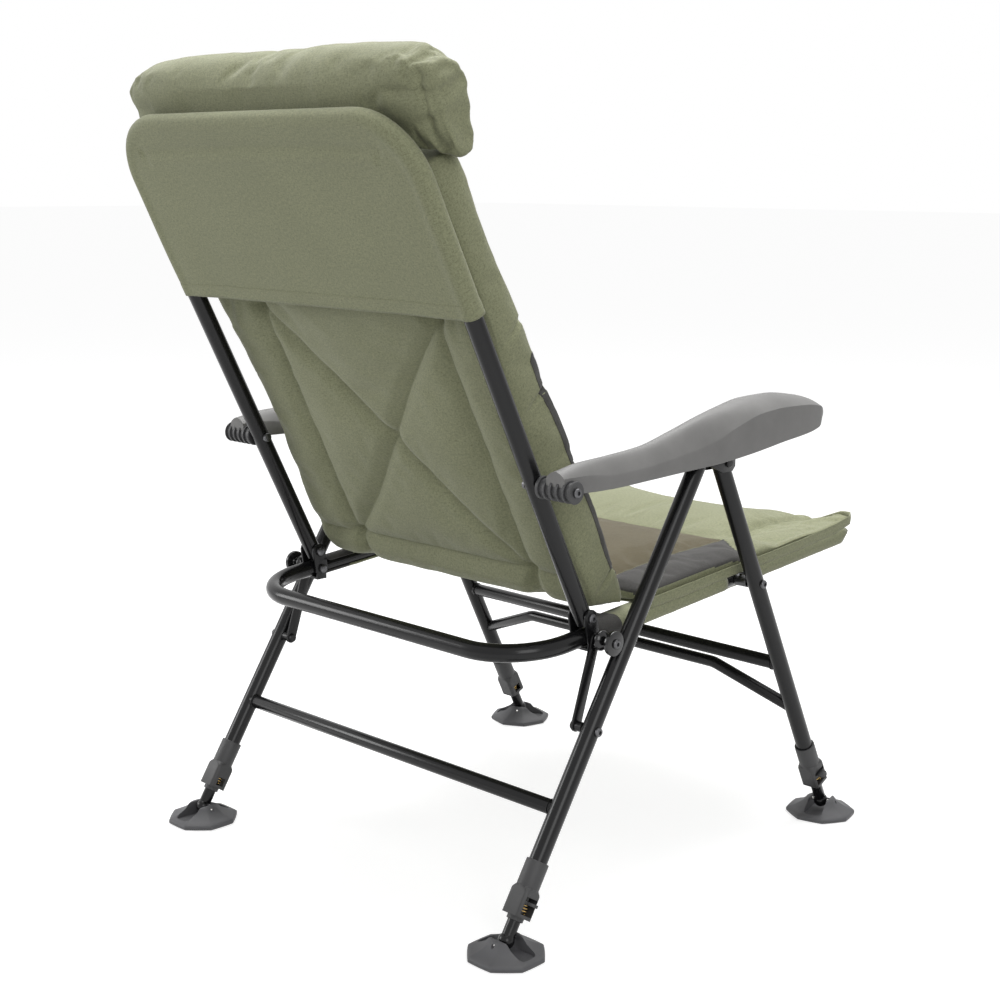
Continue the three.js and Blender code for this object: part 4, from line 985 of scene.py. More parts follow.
def rear_folds():
    """Gathers at the ends of the quilting lines, and the soft folds under the sleeve."""
    lines = []
    for side in (-1, 1):
        for height, headings in ((QUILT_HIGH, (62, 98, 128, 20)), (QUILT_LOW, (-60, -100, 35, 160))):
            for turn in headings:
                t = math.radians(turn)
                x, s = side * QUILT_X, height
                lines.append(((x, s), (x + side * 30 * math.cos(t), s + 30 * math.sin(t)), 2.4, 4.5))
    lines += [((206, 404), (244, 330), 5.0, 12.0), ((180, 404), (214, 338), 3.5, 9.0),
              ((122, 404), (76, 330), 3.0, 14.0), ((-196, 404), (-188, 350), 4.0, 9.0),
              ((-140, 408), (-150, 360), 3.0, 7.0), ((232, 120), (180, 70), 3.5, 16.0),
              ((238, 200), (196, 150), 3.0, 18.0), ((244, 30), (226, 62), 4.0, 8.0),
              ((-60, 395), (-20, 330), 2.0, 18.0)]
    return lines


def back_rings(inset):
    rings = []
    steps, count = 52, 88
    for k in range(steps + 1):
        part = k / steps
        ends = min(1.0, math.sqrt(math.sin(math.pi * min(max(part, 0.001), 0.999))) * 2.6)
        front = BACK_FRONT * table(FRONT_DEPTH, part) - inset
        rear = inset - BACK_REST
        middle = -(front + rear) / 2
        deep = (front - rear) / 2 * (0.84 + 0.16 * ends)
        ring = []
        for i in range(count):
            a = 2 * math.pi * i / count
            y = middle + deep * power(math.sin(a), 0.27)
            lowest = -5.4 + 0.62 * min(0.0, y - BACK_REST)
            z = lowest + inset + (BACK_TOP - inset - lowest) * part
            half = (table(BACK_WIDTH, z) - inset) * (0.97 + 0.03 * ends)
            ring.append((half * power(math.cos(a), 0.22), y, z))
        rings.append(ring)
    return rings


def back_seam_distance(co, normal):
    """Millimetres from each point to the nearest seam of the face that it lies on."""
    flat = co[:, [0, 2]] / MM
    rear = np.where(normal[:, 1] > FACE_REAR, near_lines(flat, back_seams()), 1e9)
    front = np.where(normal[:, 1] < FACE_FRONT, near_lines(flat, front_seams()), 1e9)
    return np.minimum(rear, front)


def back_regions(centre, normal):
    """0 for the olive cloth, 1 for the grey and 2 for the fleece."""
    across, up = np.abs(centre[:, 0]), centre[:, 2]
    front = normal[:, 1] < -0.42
    grey = front & (across >= 186) & (up < 318) & (up > -20)
    return np.where(front & (across < 186) & (up < 420), 2, np.where(grey, 1, 0))


def squashed(piece):
    """Gives a piece of the back its own copy of its mesh."""
    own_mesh(piece)


def make_back_cushion():
    look = padding_look()
    mesh = cloth_grid("back_pad", skinned(back_rings(2.5)), look.voxel, smooth=1)
    co, normal = coordinates(mesh), normals_of(mesh)
    seam = back_seam_distance(co, normal)
    corner = np.minimum(np.abs(normal[:, 0]), np.abs(normal[:, 1]))
    put_coordinates(mesh, co - normal * (look.seam_depth * ridge(seam, 13.0))[:, None])
    sewn = np.where((seam < look.voxel / MM * SEW_LINE) | (corner > 0.52) | (normal[:, 2] < -0.4), 1.0, 0.0)
    mesh = finer(fill_cloth(mesh, sewn, look.swell * 0.42, pressure=2.4, extra=0.004))
    co, normal = coordinates(mesh), normals_of(mesh)
    seam = back_seam_distance(co, normal)
    flat, deep = co[:, [0, 2]] / MM, co[:, 1] / MM
    rear = ramp(normal[:, 1], 0.2, 0.3)
    corner = ramp(np.minimum(np.abs(normal[:, 0]), np.abs(normal[:, 1])), 0.5, 0.15)
    tucks = sum(6.5 * ridge(flat[:, 1] - s + 0.28 * (deep + 80), 3.4) for s in SIDE_TUCKS)
    tucks = tucks * ramp(np.abs(normal[:, 0]), 0.4, 0.3) * ramp(-deep, 30, 35)
    knots = [(side * QUILT_X, height) for side in (-1, 1) for height in (QUILT_LOW, QUILT_HIGH)]
    knots.append((0.0, (QUILT_LOW + QUILT_HIGH) / 2))
    pinch = sum(ridge(np.linalg.norm(flat - np.array(knot), axis=1), 11.0) for knot in knots)
    change = (-2.6 * ridge(seam, 2.4) + ripple(co, (55, 55, 55), 3.0) * 1.3 * np.exp(-seam / 18.0)
              + ripple(co, (8, 8, 5), 8.0) * 1.8 + ripple(co, (26, 26, 14), 4.0) * 0.9 - pinch * rear * 5.0
              - folds(flat, rear_folds()) * rear - tucks + corner)
    co = pushed(co, normal, change)
    limit = np.where((np.abs(co[:, 0]) > 0.232) | (co[:, 2] > 0.4), BACK_REST - 0.2, -7.0) * MM
    co[:, 1] = np.minimum(co[:, 1], limit)
    co[:, 2] = np.minimum(co[:, 2], (BACK_TOP + 0.5) * MM)
    co[:, 2] = np.maximum(co[:, 2], (-6.0 + 0.62 * np.minimum(0.0, co[:, 1] / MM - BACK_REST)) * MM)
    put_coordinates(mesh, co)
    cloth_map(mesh)
    paint_regions(mesh, back_regions)
    to_world(mesh, HINGE, BACK_AXES)
    piece = soft_piece("back_pad", mesh, "back", "back_cushion", [green_cloth(), grey_cloth(), fleece_cloth()])
    squashed(piece)
    tree = surface_of(piece)
    lines = back_seams() + [[(-236.0, 8.0), (236.0, 8.0)]]
    rows = [laid_row(tree, [back_point(x, 40, s) for x, s in dense(line)], -BACK_REAR) for line in lines]
    for word, side in SIDES:
        squashed(make_edge_strip(tree, word, side))
    squashed(stitch_rows("back_pad_stitches", rows, "back", radius=0.0004))


def make_edge_strip(tree, word, side):
    """The grey strip of the front cloth that turns round the side of the back cushion."""
    top = 322
    hits = [(s, tree.ray_cast(back_point(side * 226, -200, s), BACK_REAR)[0]) for s in range(14, top, 4)]
    heights = [s for s, hit in hits if hit is not None]
    starts = np.array([(hit - HINGE).dot(BACK_REAR) / MM for s, hit in hits if hit is not None])
    starts = np.convolve(np.pad(starts, 6, mode="edge"), np.full(13, 1 / 13), mode="valid")
    rings = []
    for s, start in zip(heights, starts):
        wide = 11.0 * min(1.0, (top - s) / 10)
        spots = [tree.ray_cast(back_point(side * 400, start + 3.5 + wide * k / 5, s), Vector((-side, 0, 0)))[:2]
                 for k in range(6)]
        if all(hit is not None for hit, normal in spots):
            rings.append([hit + normal * 0.0007 for hit, normal in spots]
                         + [hit - normal * 0.0012 for hit, normal in spots[::-1]])
    strip = Solid().rings(rings).piece("edge_strip_" + word, "back", "padding", grey_cloth(), sharp=60)
    cloth_map(strip.data)
    return strip


# Head pillow

PILLOW_HALF = 271.0
PILLOW_LOW, PILLOW_TALL = 570.3, 122.0
PILLOW_DEEP, PILLOW_FORWARD = 78.0, 59.0
PILLOW_FOLDS = (
    ((-262, 646), (-196, 655), 4.5, 5.0), ((-246, 640), (-205, 652), 3.0, 5.0), ((-205, 652), (-188, 636), 3.0, 6.0),
    ((-182, 644), (-226, 598), 4.0, 9.0), ((-262, 618), (-236, 610), 4.0, 5.0), ((-262, 590), (-240, 584), 4.0, 5.0),
    ((240, 676), (205, 664), 3.5, 7.0), ((246, 640), (190, 646), 3.5, 8.0), ((120, 652), (-150, 656), 5.5, 22.0),
    ((30, 690), (60, 662), 2.0, 8.0), ((-60, 690), (-30, 664), 1.6, 10.0))


def pillow_rings(inset):
    rings = []
    steps, count = 48, 56
    for k in range(steps + 1):
        u = -math.cos(math.pi * k / steps)
        ends = max(0.62, (1 - abs(u) ** 6) ** 0.4)
        ring = []
        for i in range(count):
            a = 2 * math.pi * i / count
            c = power(math.cos(a), 0.6)
            s = power(math.sin(a), 0.56)
            tip = max(0.0, abs(u) - 0.86) / 0.14
            lean = -11.0 * tip * max(0.0, 1 - abs(s - 0.15) / 0.7)
            ring.append(((PILLOW_HALF - inset) * u,
                         -PILLOW_FORWARD + (PILLOW_DEEP / 2 - inset) * c * ends + lean * max(0.0, -c),
                         PILLOW_LOW + PILLOW_TALL / 2
                         + (PILLOW_TALL / 2 - inset) * s * (0.6 + 0.4 * ends if s > 0 else 1.0)))
        rings.append(ring)
    return rings


def make_head_pillow():
    look = padding_look()
    rim = (PILLOW_HALF - 8) * MM
    mesh = cloth_grid("head_pad", skinned(pillow_rings(4.0)), look.voxel * 0.85, smooth=3)
    sewn = np.where(np.abs(np.abs(coordinates(mesh)[:, 0]) - rim) < look.voxel * 0.5, 1.0, 0.0)
    mesh = finer(fill_cloth(mesh, sewn, look.swell * 0.3, pressure=3.0, extra=0.03, bending=1.2))
    co, normal = coordinates(mesh), normals_of(mesh)
    edge = np.abs(np.abs(co[:, 0]) - rim) / MM
    seen = ramp(normal[:, 1], -0.25, 0.4)
    change = (ripple(co, (9, 50, 50), 5.0) * 2.6 * np.exp(-edge / 45.0) + ripple(co, (7, 13, 13), 2.0) * 3.0
              + ripple(co, (30, 30, 30), 9.0) * 1.2 - 1.6 * ridge(edge, 3.0)
              - folds(co[:, [0, 2]] / MM, PILLOW_FOLDS) * seen)
    co = pushed(co, normal, change)
    co[:, 2] = np.maximum(co[:, 2], (PILLOW_LOW - 1.0) * MM)
    co[:, 1] = np.minimum(co[:, 1], -14.2 * MM)
    across, up = np.abs(co[:, 0]) / MM, co[:, 2] / MM
    hang = ramp(across, 200, 45) * ramp(-up, -PILLOW_LOW - 45, 45)
    cut_top = ramp(across, 236, 32) * ramp(up, 630, 50)
    co[:, 2] -= (hang * 13.0 + cut_top * 12.0) * MM
    put_coordinates(mesh, co)
    cloth_map(mesh)
    to_world(mesh, HINGE, BACK_AXES)
    soft_piece("head_pad", mesh, "back", "head_pillow", [green_cloth()])


# Seat. Places are millimetres across, rearward along the seat tubes from the front pivot, and above the tubes.

SLEEVE_OUT = 13.1
SLING_SAG = 13.0
SLING_REAR = 176.0
SEAT_REAR, SEAT_FRONT = 183.0, -299.0
SEAT_HALF_WIDTH, SEAT_THICK, SEAT_CROWN = 261.0, 26.0, 11.0
SEAT_SHARES = ((0, 0.3), (0.04, 0.42), (0.12, 0.56), (0.3, 0.74), (0.42, 0.66), (0.47, 0.72), (0.8, 0.92),
               (0.97, 0.9), (1, 0.6))
CORNER_PULL = 27.0
FRONT_DROOP = 34.0
BOLSTER_SEAM = -66.0


def sling_height(x):
    """Middle of the sling cloth above the seat tubes' axis."""
    return SLEEVE_OUT - 0.9 - SLING_SAG * (1 - min(1.0, abs(x) / 250.0) ** 2)


def front_droop(x, along):
    """How far the open front edge hangs between the two tubes."""
    return FRONT_DROOP * np.clip(1 - (x / 228) ** 2, 0, 1) * (np.clip(-195 - along, 0, 110) / 104) ** 1.2


def seat_front(x):
    """The front edge of the seat cushion, pulled back at its corners."""
    return SEAT_FRONT + CORNER_PULL * min(1.0, abs(x) / SEAT_HALF_WIDTH) ** 5


def seat_rings(inset):
    rings = []
    steps, columns = 48, 44
    for k in range(steps + 1):
        part = 0.5 - 0.5 * math.cos(math.pi * k / steps)
        wave = math.sin(math.pi * part)
        ends = min(1.0, math.sqrt(max(0.0, wave)) * 1.9)
        half = (SEAT_HALF_WIDTH - inset) * (1 - 0.03 * (1 - ends) - 0.012 * wave)
        top, bottom = [], []
        for i in range(columns + 1):
            u = math.sin(math.pi / 2 * (2 * i / columns - 1))
            x = half * u
            front = seat_front(x) + inset
            y = front + (SEAT_REAR - inset - front) * part
            base = sling_height(x) + 0.9 + 1.2
            edge = math.sqrt(max(0.0, 1 - abs(u) ** 6))
            tall = (SEAT_THICK * (0.52 + 0.48 * edge) + SEAT_CROWN * (1 - u * u) * ends) * table(SEAT_SHARES, part)
            lift = 0.0 if abs(u) < 1 and 0 < part < 1 else SEAT_THICK * 0.12
            bottom.insert(0, (x, y, base + lift))
            top.append((x, y, base + lift + max(tall, SEAT_THICK * 0.3)))
        rings.append(top + bottom)
    return rings


def seat_seams():
    lines = [[(-178.0, BOLSTER_SEAM), (178.0, BOLSTER_SEAM)]]
    for side in (-1, 1):
        lines.append([(side * 184.0, -285.0), (side * 184.0, 175.0)])
        lines.append([(side * 184.0, -72.0), (side * 258.0, -24.0)])
    return lines


def seat_folds():
    """Folds that run from the front corners over the corner panels, and across the grey panels."""
    lines = []
    for side in (-1, 1):
        tip = (side * 250.0, -262.0)
        for reach, depth in (((150, -150), 2.2), ((170, -128), 2.6), ((196, -112), 2.0), ((228, -118), 1.6)):
            lines.append((tip, (side * reach[0], reach[1]), depth, 6.0))
        for t, slant in ((-60, 22), (-18, -10), (30, 26), (78, -16), (120, 20)):
            lines.append(((side * 190.0, t), (side * 248.0, t + slant), 2.2, 7.0))
    return lines


# Middle line of the band round the seat cushion: across, along, top and height, to the middle of the front
SEAT_BAND = ((-264.0, 181.0, 22.0, 13.5), (-265.5, 120.0, 22.5, 14.0), (-265.5, 20.0, 22.5, 13.0),
             (-265.5, -60.0, 21.5, 13.0), (-265.0, -136.0, 21.5, 13.5), (-263.5, -225.0, 24.0, 14.0),
             (-261.0, -259.0, 26.0, 12.5), (-252.0, -274.0, 26.5, 11.0), (-236.0, -284.0, 23.0, 11.0),
             (-190.0, -293.0, 15.0, 9.5), (-100.0, -299.5, 10.0, 8.5), (0.0, -301.0, 8.0, 8.5))


def seat_band():
    """The upright band sewn round the sides and the front of the seat cushion."""
    path = SEAT_BAND + tuple((-x, t, top, tall) for x, t, top, tall in reversed(SEAT_BAND[:-1]))
    points = []
    for a, b in zip(path, path[1:]):
        count = max(1, int(math.hypot(b[0] - a[0], b[1] - a[1]) / 7))
        points += [[a[i] + (b[i] - a[i]) * k / count for i in range(4)] for k in range(count)]
    points.append(path[-1])
    rings = []
    for k, (x, t, top, tall) in enumerate(points):
        before, after = points[max(0, k - 1)], points[min(len(points) - 1, k + 1)]
        run = Vector((after[0] - before[0], after[1] - before[1], 0)).normalized()
        out = Vector((run.y, -run.x, 0))
        if out.dot(Vector((x, t + 40, 0))) < 0:
            out.negate()
        puff = 0.7 * noise.noise(Vector((x * 0.03, t * 0.04, 3.0)))
        section = ((0.0, 0.0), (0.9, 0.5), (1.3, -0.6), (0.9, -1.8), (1.7 + puff, -tall * 0.35),
                   (1.8 + puff, -tall * 0.7), (1.2, -tall + 1.2), (0.3, -tall), (-0.6, -tall + 0.6),
                   (-0.8, -tall * 0.5), (-0.8, -0.6))
        rings.append([Vector((x, t, top)) + out * a + Vector((0, 0, b)) for a, b in section])
    return skinned(rings).mesh("seat_edge")


def seat_regions(centre, normal):
    """0 for the olive cloth, 1 for the grey and 2 for the fleece."""
    above = normal[:, 2] > 0.3
    across, along = np.abs(centre[:, 0]), centre[:, 1]
    grey = above & (across >= 184) & (across < 262.5) & (along > -72 + (across - 184) * 0.65)
    return np.where(above & (across < 184) & (along > BOLSTER_SEAM), 2, np.where(grey, 1, 0))


def make_seat_cushion():
    look = padding_look()
    mesh = cloth_grid("seat_pad", skinned(seat_rings(1.5)), look.voxel * 0.9, smooth=2)
    co, normal = coordinates(mesh), normals_of(mesh)
    seam = np.where(normal[:, 2] > 0.3, near_lines(co[:, :2] / MM, seat_seams()), 1e9)
    co = co - normal * (look.seam_depth * 0.5 * ridge(seam, 12.0))[:, None]
    rim = (np.abs(co[:, 0]) > 0.25) | (co[:, 1] < np.array([seat_front(x / MM) + 12 for x in co[:, 0]]) * MM)
    sewn = np.where((seam < look.voxel / MM * SEW_LINE) | (normal[:, 2] < 0.2) | rim, 1.0, 0.0)
    put_coordinates(mesh, co)
    mesh = finer(fill_cloth(mesh, sewn, look.swell * 0.22, pressure=2.4, extra=0.008))
    co, normal = coordinates(mesh), normals_of(mesh)
    seam = np.where(normal[:, 2] > 0.2, near_lines(co[:, :2] / MM, seat_seams()), 1e9)
    top = ramp(normal[:, 2], 0.1, 0.3)
    change = top * (-1.5 * ridge(seam, 2.6) + ripple(co, (60, 60, 60), 11.0) * np.exp(-seam / 18.0)
                    + ripple(co, (9, 9, 9), 21.0) * 1.5 - folds(co[:, :2] / MM, seat_folds()))
    co = pushed(co, normal, change)
    across, along = np.abs(co[:, 0]) / MM, co[:, 1] / MM
    tip = ridge(np.hypot(across - 256, along + 262), 42.0)
    low_corner = ramp(across, 176, 18) * ramp(-along, 78, 22) * ramp(-across, -262, 16)
    co[:, 2] -= top * low_corner * (1 - tip) * 9.0 * MM
    floor = np.array([sling_height(x / MM) + 1.6 for x in co[:, 0]]) * MM
    co[:, 2] = np.maximum(co[:, 2], floor)
    co[:, 1] = np.minimum(co[:, 1], (SEAT_REAR + 3) * MM)
    put_coordinates(mesh, co)
    join_meshes(mesh, seat_band())
    co = coordinates(mesh)
    co[:, 2] -= front_droop(co[:, 0] / MM, co[:, 1] / MM) * MM
    put_coordinates(mesh, co)
    cloth_map(mesh)
    paint_regions(mesh, seat_regions)
    to_world(mesh, SEAT_PIN, SEAT_AXES)
    piece = soft_piece("seat_pad", mesh, "seat", "seat_cushion", [green_cloth(), grey_cloth(), fleece_cloth()])
    lines = seat_seams() + [[(side * 258.0, 176.0), (side * 258.0, -230.0)] for side in (-1, 1)]
    tree = surface_of(piece)
    rows = [laid_row(tree, [seat_point(x, t, 70) for x, t in dense(line)], -SEAT_UP) for line in lines]
    stitch_rows("seat_pad_stitches", rows, "seat", radius=0.0004)


def sling_section(count=26):
    """The sling's section as points across and up: round one tube, over to the other and round that."""
    radius = SLEEVE_OUT - 0.9
    left = []
    for i in range(17):
        a = math.radians(-35 - 235 * i / 16)
        left.append((-250 + radius * math.cos(a), radius * math.sin(a)))
    middle = [(-250 + 500 * i / count, sling_height(-250 + 500 * i / count)) for i in range(1, count)]
    return left + middle + [(-x, w) for x, w in reversed(left)]


def make_sling():
    front, rear = -243.0, 273.0
    section = sling_section()
    rows = [front + (rear - front) * k / 74 for k in range(75)]
    verts, faces = [], []
    for t in rows:
        for x, w in section:
            puff, lip, hang = 0.0, 0.0, 0.0
            out = Vector((0.0, 0.0))
            if abs(x) > 236:
                wave = noise.noise(Vector((t * 0.045, x * 0.05, w * 0.08)))
                fold = noise.noise(Vector((t * 0.16 + 7, x * 0.03, w * 0.05)))
                puff = max(0.0, 0.5 * wave + 0.35 * fold)
                out = Vector((x - math.copysign(250, x), w)).normalized()
                outer = max(0.0, math.copysign(1, x) * out.x * 0.8 + out.y * 0.6)
                lip = 11.0 * outer ** 6 * max(0.0, 1 - (t - front) / 16.0)
            elif abs(x) < 236:
                hang = float(front_droop(x, t))
            verts.append(Vector((x + out.x * (puff + lip * 0.12), t - lip, w + out.y * puff - hang)) * MM)
    width = len(section)
    for k in range(len(rows) - 1):
        middle = (rows[k] + rows[k + 1]) / 2
        for i in range(width - 1):
            x = (section[i][0] + section[i + 1][0]) / 2
            if (abs(middle) < 23 and abs(x) > 251) or (middle > SLING_REAR and abs(x) < 238):
                continue
            a = k * width + i
            faces.append((a, a + 1, a + width + 1, a + width))
    mesh = new_mesh("sling", verts, faces)
    bm = bmesh.new()
    bm.from_mesh(mesh)
    bmesh.ops.delete(bm, geom=[v for v in bm.verts if not v.link_faces], context="VERTS")
    bm.to_mesh(mesh)
    bm.free()
    cloth_map(mesh)
    paint_regions(mesh, lambda centre, normal: np.where(centre[:, 1] > 232, 1, 0))
    to_world(mesh, SEAT_PIN, SEAT_AXES)
    piece = soft_piece("sling", mesh, "seat", "seat_sling", [green_cloth(), grey_cloth()])
    add_modifier(piece, "Cloth thickness", "SOLIDIFY", thickness=0.0015, offset=0.0)
    rows = [[seat_point(side * 234.0, t, sling_height(234.0) - 1.1) for t in range(-240, 174, 6)] for side in (-1, 1)]
    rows += [[seat_point(x, t, sling_height(x) - 1.1 - front_droop(x, t)) for x in range(-230, 231, 6)]
             for t in (-238.0, 171.0)]
    stitch_rows("sling_stitches", rows, "seat")


# Back sleeve

SLEEVE_HALF, SLEEVE_TOP, SLEEVE_CORNER = 250.0, 633.0, 70.0
SLEEVE_LOW, SLEEVE_HEM = 406.5, 424.0


def make_back_sleeve():
    half, top, corner, low_end = SLEEVE_HALF, SLEEVE_TOP, SLEEVE_CORNER, 380.0
    path = bent([(-half, 0, low_end), (-half, 0, top), (half, 0, top), (half, 0, low_end)], corner, 12)
    slab = []
    rows, columns = 30, 48
    for k in range(rows + 1):
        s = low_end + (top + 3 - low_end) * k / rows
        rise = max(0.0, s - (top - corner))
        reach = half - corner + math.sqrt(max(0.0, corner ** 2 - min(rise, corner - 0.1) ** 2))
        ring = []
        for i in range(columns):
            a = 2 * math.pi * i / columns
            x = reach * power(math.cos(a), 0.22)
            inward = min(1.0, max(0.0, 3.2 - 3.2 * abs(x) / reach)) * min(1.0, max(0.0, (top - s) / 26.0))
            dish = (3.4 if math.sin(a) > 0 else 1.0) * inward
            ring.append((x, (12.6 - dish) * power(math.sin(a), 0.2), s))
        slab.append(ring)
    mesh = cloth_grid("back_sleeve_cloth", skinned(sweep_rings(path, 12.9, 28), slab), 0.004, smooth=5)
    bm = bmesh.new()
    bm.from_mesh(mesh)
    bmesh.ops.bisect_plane(bm, geom=bm.verts[:] + bm.edges[:] + bm.faces[:], plane_co=(0, 0, SLEEVE_LOW * MM),
                           plane_no=(0, 0, 1), clear_inner=True)
    bmesh.ops.recalc_face_normals(bm, faces=bm.faces)
    bm.to_mesh(mesh)
    bm.free()
    co, normal = coordinates(mesh), normals_of(mesh)
    up, across = co[:, 2] / MM, np.abs(co[:, 0]) / MM
    flare = 2.2 * ramp(across, 205, 50) * np.exp(-(up - SLEEVE_LOW) / 120.0)
    change = (ripple(co, (6, 20, 9), 31.0) * 1.3
              + ripple(co, (20, 30, 4), 41.0) * 0.9 * np.exp(-(up - SLEEVE_LOW) / 70.0)
              - 2.4 * ridge(up - 606 + 0.02 * across, 6.0) * (across < 215)
              + 1.8 * ridge(up - 592, 7.0) * (across < 205))
    hem = 0.7 * ridge(up - SLEEVE_HEM, 1.8) - 0.5 * (up < SLEEVE_HEM)
    co = pushed(co, normal, ramp(normal[:, 1], 0.2, 0.3) * change - hem * (np.abs(normal[:, 1]) > 0.2))
    co[:, 0] += np.sign(co[:, 0]) * flare * MM
    put_coordinates(mesh, co)
    cloth_map(mesh)
    to_world(mesh, HINGE, BACK_AXES)
    piece = soft_piece("back_sleeve_cloth", mesh, "back", "back_sleeve", [green_cloth()])
    add_modifier(piece, "Cloth thickness", "SOLIDIFY", thickness=0.0012, offset=-1.0)
    row = laid_row(surface_of(piece), [back_point(x, 60, SLEEVE_HEM) for x in range(-254, 255, 4)], -BACK_REAR)
    stitch_rows("back_sleeve_stitches", [row], "back", radius=0.00035)


# Frame

FRONT_TOP = SEAT_PIN + (ARM_PIN - HINGE)
FRONT_BALL = at_x(pivot("foot_front_left_rock"), 0)
REAR_BALL = at_x(pivot("foot_rear_left_rock"), 0)
FRONT_UP = (FRONT_TOP - FRONT_BALL).normalized()
REAR_UP = (REAR_TOP - REAR_BALL).normalized()
LINK_FOOT = at_x((low("link_bolt_left") + high("link_bolt_left")) / 2, 0)
SEAT_HALF, LEG_HALF = BACK_X / MM, LEG_X / MM
# Millimetres from a foot's ball to its collar, and from there to the end of the leg tube
SHOW = {"front": 31.0, "rear": 24.0}
COLLAR_GRIP = 40.3
TUBE_WALL, BRACE_R, ARCH_R = 0.0015, 0.009, 0.008
# Places across the chair: the inner faces of both bracket plates, the leg's inner face, and the bolt heads
PLATE_INNER, PLATE_OUTER = 0.2357, 0.2613
LEG_FACE = 0.2787
PIN_HEAD = LEG_X + TUBE_R + 0.0003


def open_tube(points):
    """A main tube with its bore open at both ends."""
    sides = frame_look().sides
    outer, inner = (sweep_rings(points, radius, sides) for radius in (TUBE_R, TUBE_R - TUBE_WALL))
    return Solid().rings(outer + inner[::-1], closed=True)


def smooth_tube(points, radius):
    """A closed tube along points, its ends rounded over."""
    ends = 0.0012
    first = (points[1] - points[0]).normalized()
    last = (points[-2] - points[-1]).normalized()
    path = [points[0], points[0] + first * ends * 0.3, points[0] + first * ends] + points[1:-1]
    path += [points[-1] + last * ends, points[-1] + last * ends * 0.3, points[-1]]
    rounding = [radius - ends, radius - ends * 0.3]
    radii = rounding + [radius] * (len(path) - 4) + rounding[::-1]
    return Solid().rings(sweep_rings(path, radii, frame_look().sides))


def painted(solid, name, body, cad_node):
    solid.piece(name, body, "frame_paint", frame_paint(), cad_node)


def u_tube(place, low_end, high_end, radius):
    """A main tube bent to a U, its places given across and along."""
    corners = [(-SEAT_HALF, low_end, 0), (-SEAT_HALF, high_end, 0), (SEAT_HALF, high_end, 0), (SEAT_HALF, low_end, 0)]
    return open_tube([place(p.x, p.y) for p in bent(corners, radius, 14)])


def make_seat_tube():
    painted(u_tube(lambda x, t: seat_point(x, t, 0), -243, 399, 82.0), "seat_tube", "seat", "seat_frame")
    profile = [(0.004, -0.2345), (0.0092, -0.235), (0.0092, -0.2431), (0.0108, -0.2433), (0.011, -0.2439),
               (0.0108, -0.2451), (0.0096, -0.2462), (0.007, -0.2466), (0.0, -0.2467)]
    for word, side in SIDES:
        plug = Solid().lathe(profile, seat_point(side * SEAT_HALF, 0, 0), SEAT_REARWARD)
        plug.piece("tube_plug_" + word, "seat", "black_plastic", moulded_black(), "seat_plug_" + word)


def make_back_tube():
    tube = u_tube(lambda x, s: back_point(x, 0, s), -7.5, SLEEVE_TOP, SLEEVE_CORNER)
    painted(tube, "back_tube", "back", "back_frame")


def make_leg_tubes(end, ball, up, top):
    for word, side in SIDES:
        foot = ball + up * (SHOW[end] + COLLAR_GRIP) * MM
        painted(open_tube([at_x(foot, side * LEG_X), at_x(top + up * 0.009, side * LEG_X)]),
                end + "_tube_" + word, end + "_legs", end + "_leg_" + word)


def straight_brace(point):
    """A cross tube between two legs, with a lumpy ring of weld at each end."""
    reach = LEG_X - TUBE_R * 0.5
    solid = smooth_tube([at_x(point, -reach), at_x(point, reach)], BRACE_R)
    for side in (-1, 1):
        solid.lathe([(BRACE_R - 0.0008, -0.0016), (BRACE_R + 0.0011, -0.00064), (BRACE_R + 0.0012, 0.00064),
                     (BRACE_R - 0.0008, 0.00192)], at_x(point, side * (LEG_X - TUBE_R - 0.0001)), (-side, 0, 0))
    return solid


def make_front_legs():
    make_leg_tubes("front", FRONT_BALL, FRONT_UP, FRONT_TOP)
    painted(straight_brace(SEAT_PIN - FRONT_UP * 0.135), "front_brace_upper", "front_legs", "front_cross_upper")
    ends, crown = SEAT_PIN - FRONT_UP * 0.212, SEAT_PIN - FRONT_UP * 0.162
    inset = 0.118
    corners = [at_x(ends, -LEG_X), at_x(crown, inset - LEG_X), at_x(crown, LEG_X - inset), at_x(ends, LEG_X)]
    points = bent(corners, 0.03, 10)
    points[0] = points[0] + (points[1] - points[0]).normalized() * 0.006
    points[-1] = at_x(points[0], -points[0].x)
    arch = smooth_tube(points, ARCH_R)
    strap_high, strap_low = SEAT_PIN - FRONT_UP * 0.1442, SEAT_PIN - FRONT_UP * 0.156
    outline = [(-0.0045, strap_high), (0.0045, strap_high), (0.0045, strap_low), (-0.0045, strap_low)]
    thick = FRONT_UP.cross(AXIS_X).normalized() * 0.00225
    arch.rings([[at_x(p, x) + thick * s for x, p in outline] for s in (-1, 1)])
    painted(arch, "front_brace_lower", "front_legs", "front_cross_lower")


def make_rear_legs():
    make_leg_tubes("rear", REAR_BALL, REAR_UP, REAR_TOP)
    painted(straight_brace(REAR_TOP - REAR_UP * 0.462), "rear_brace", "rear_legs", "rear_cross")


def make_link_bars():
    for word, side in SIDES:
        solid = Solid().rings(plate_rings(stadium(STOP_PIN, LINK_FOOT, 0.0074), 0.2646, 0.2686, 0.0008, side))
        solid.lathe([(0.0004, 0.2612), (0.0045, 0.2612), (0.0056, 0.262), (0.0056, 0.2647), (0.006, 0.2686),
                     (0.006, LEG_FACE), (0.001, LEG_FACE)], LINK_FOOT, (side, 0, 0), count=24)
        solid.piece("link_" + word, "link_" + word, "plate_paint", plate_paint(), "link_bar_" + word)


def button_head(start):
    """Profile of a shank's end and its button head with a socket, from where the head starts."""
    return [(0.003, start), (0.0056, start), (0.0056, start + 0.0018), (0.0047, start + 0.003),
            (0.0034, start + 0.0034), (0.0024, start + 0.0034), (0.0023, start + 0.0014), (0.0004, start + 0.0014)]


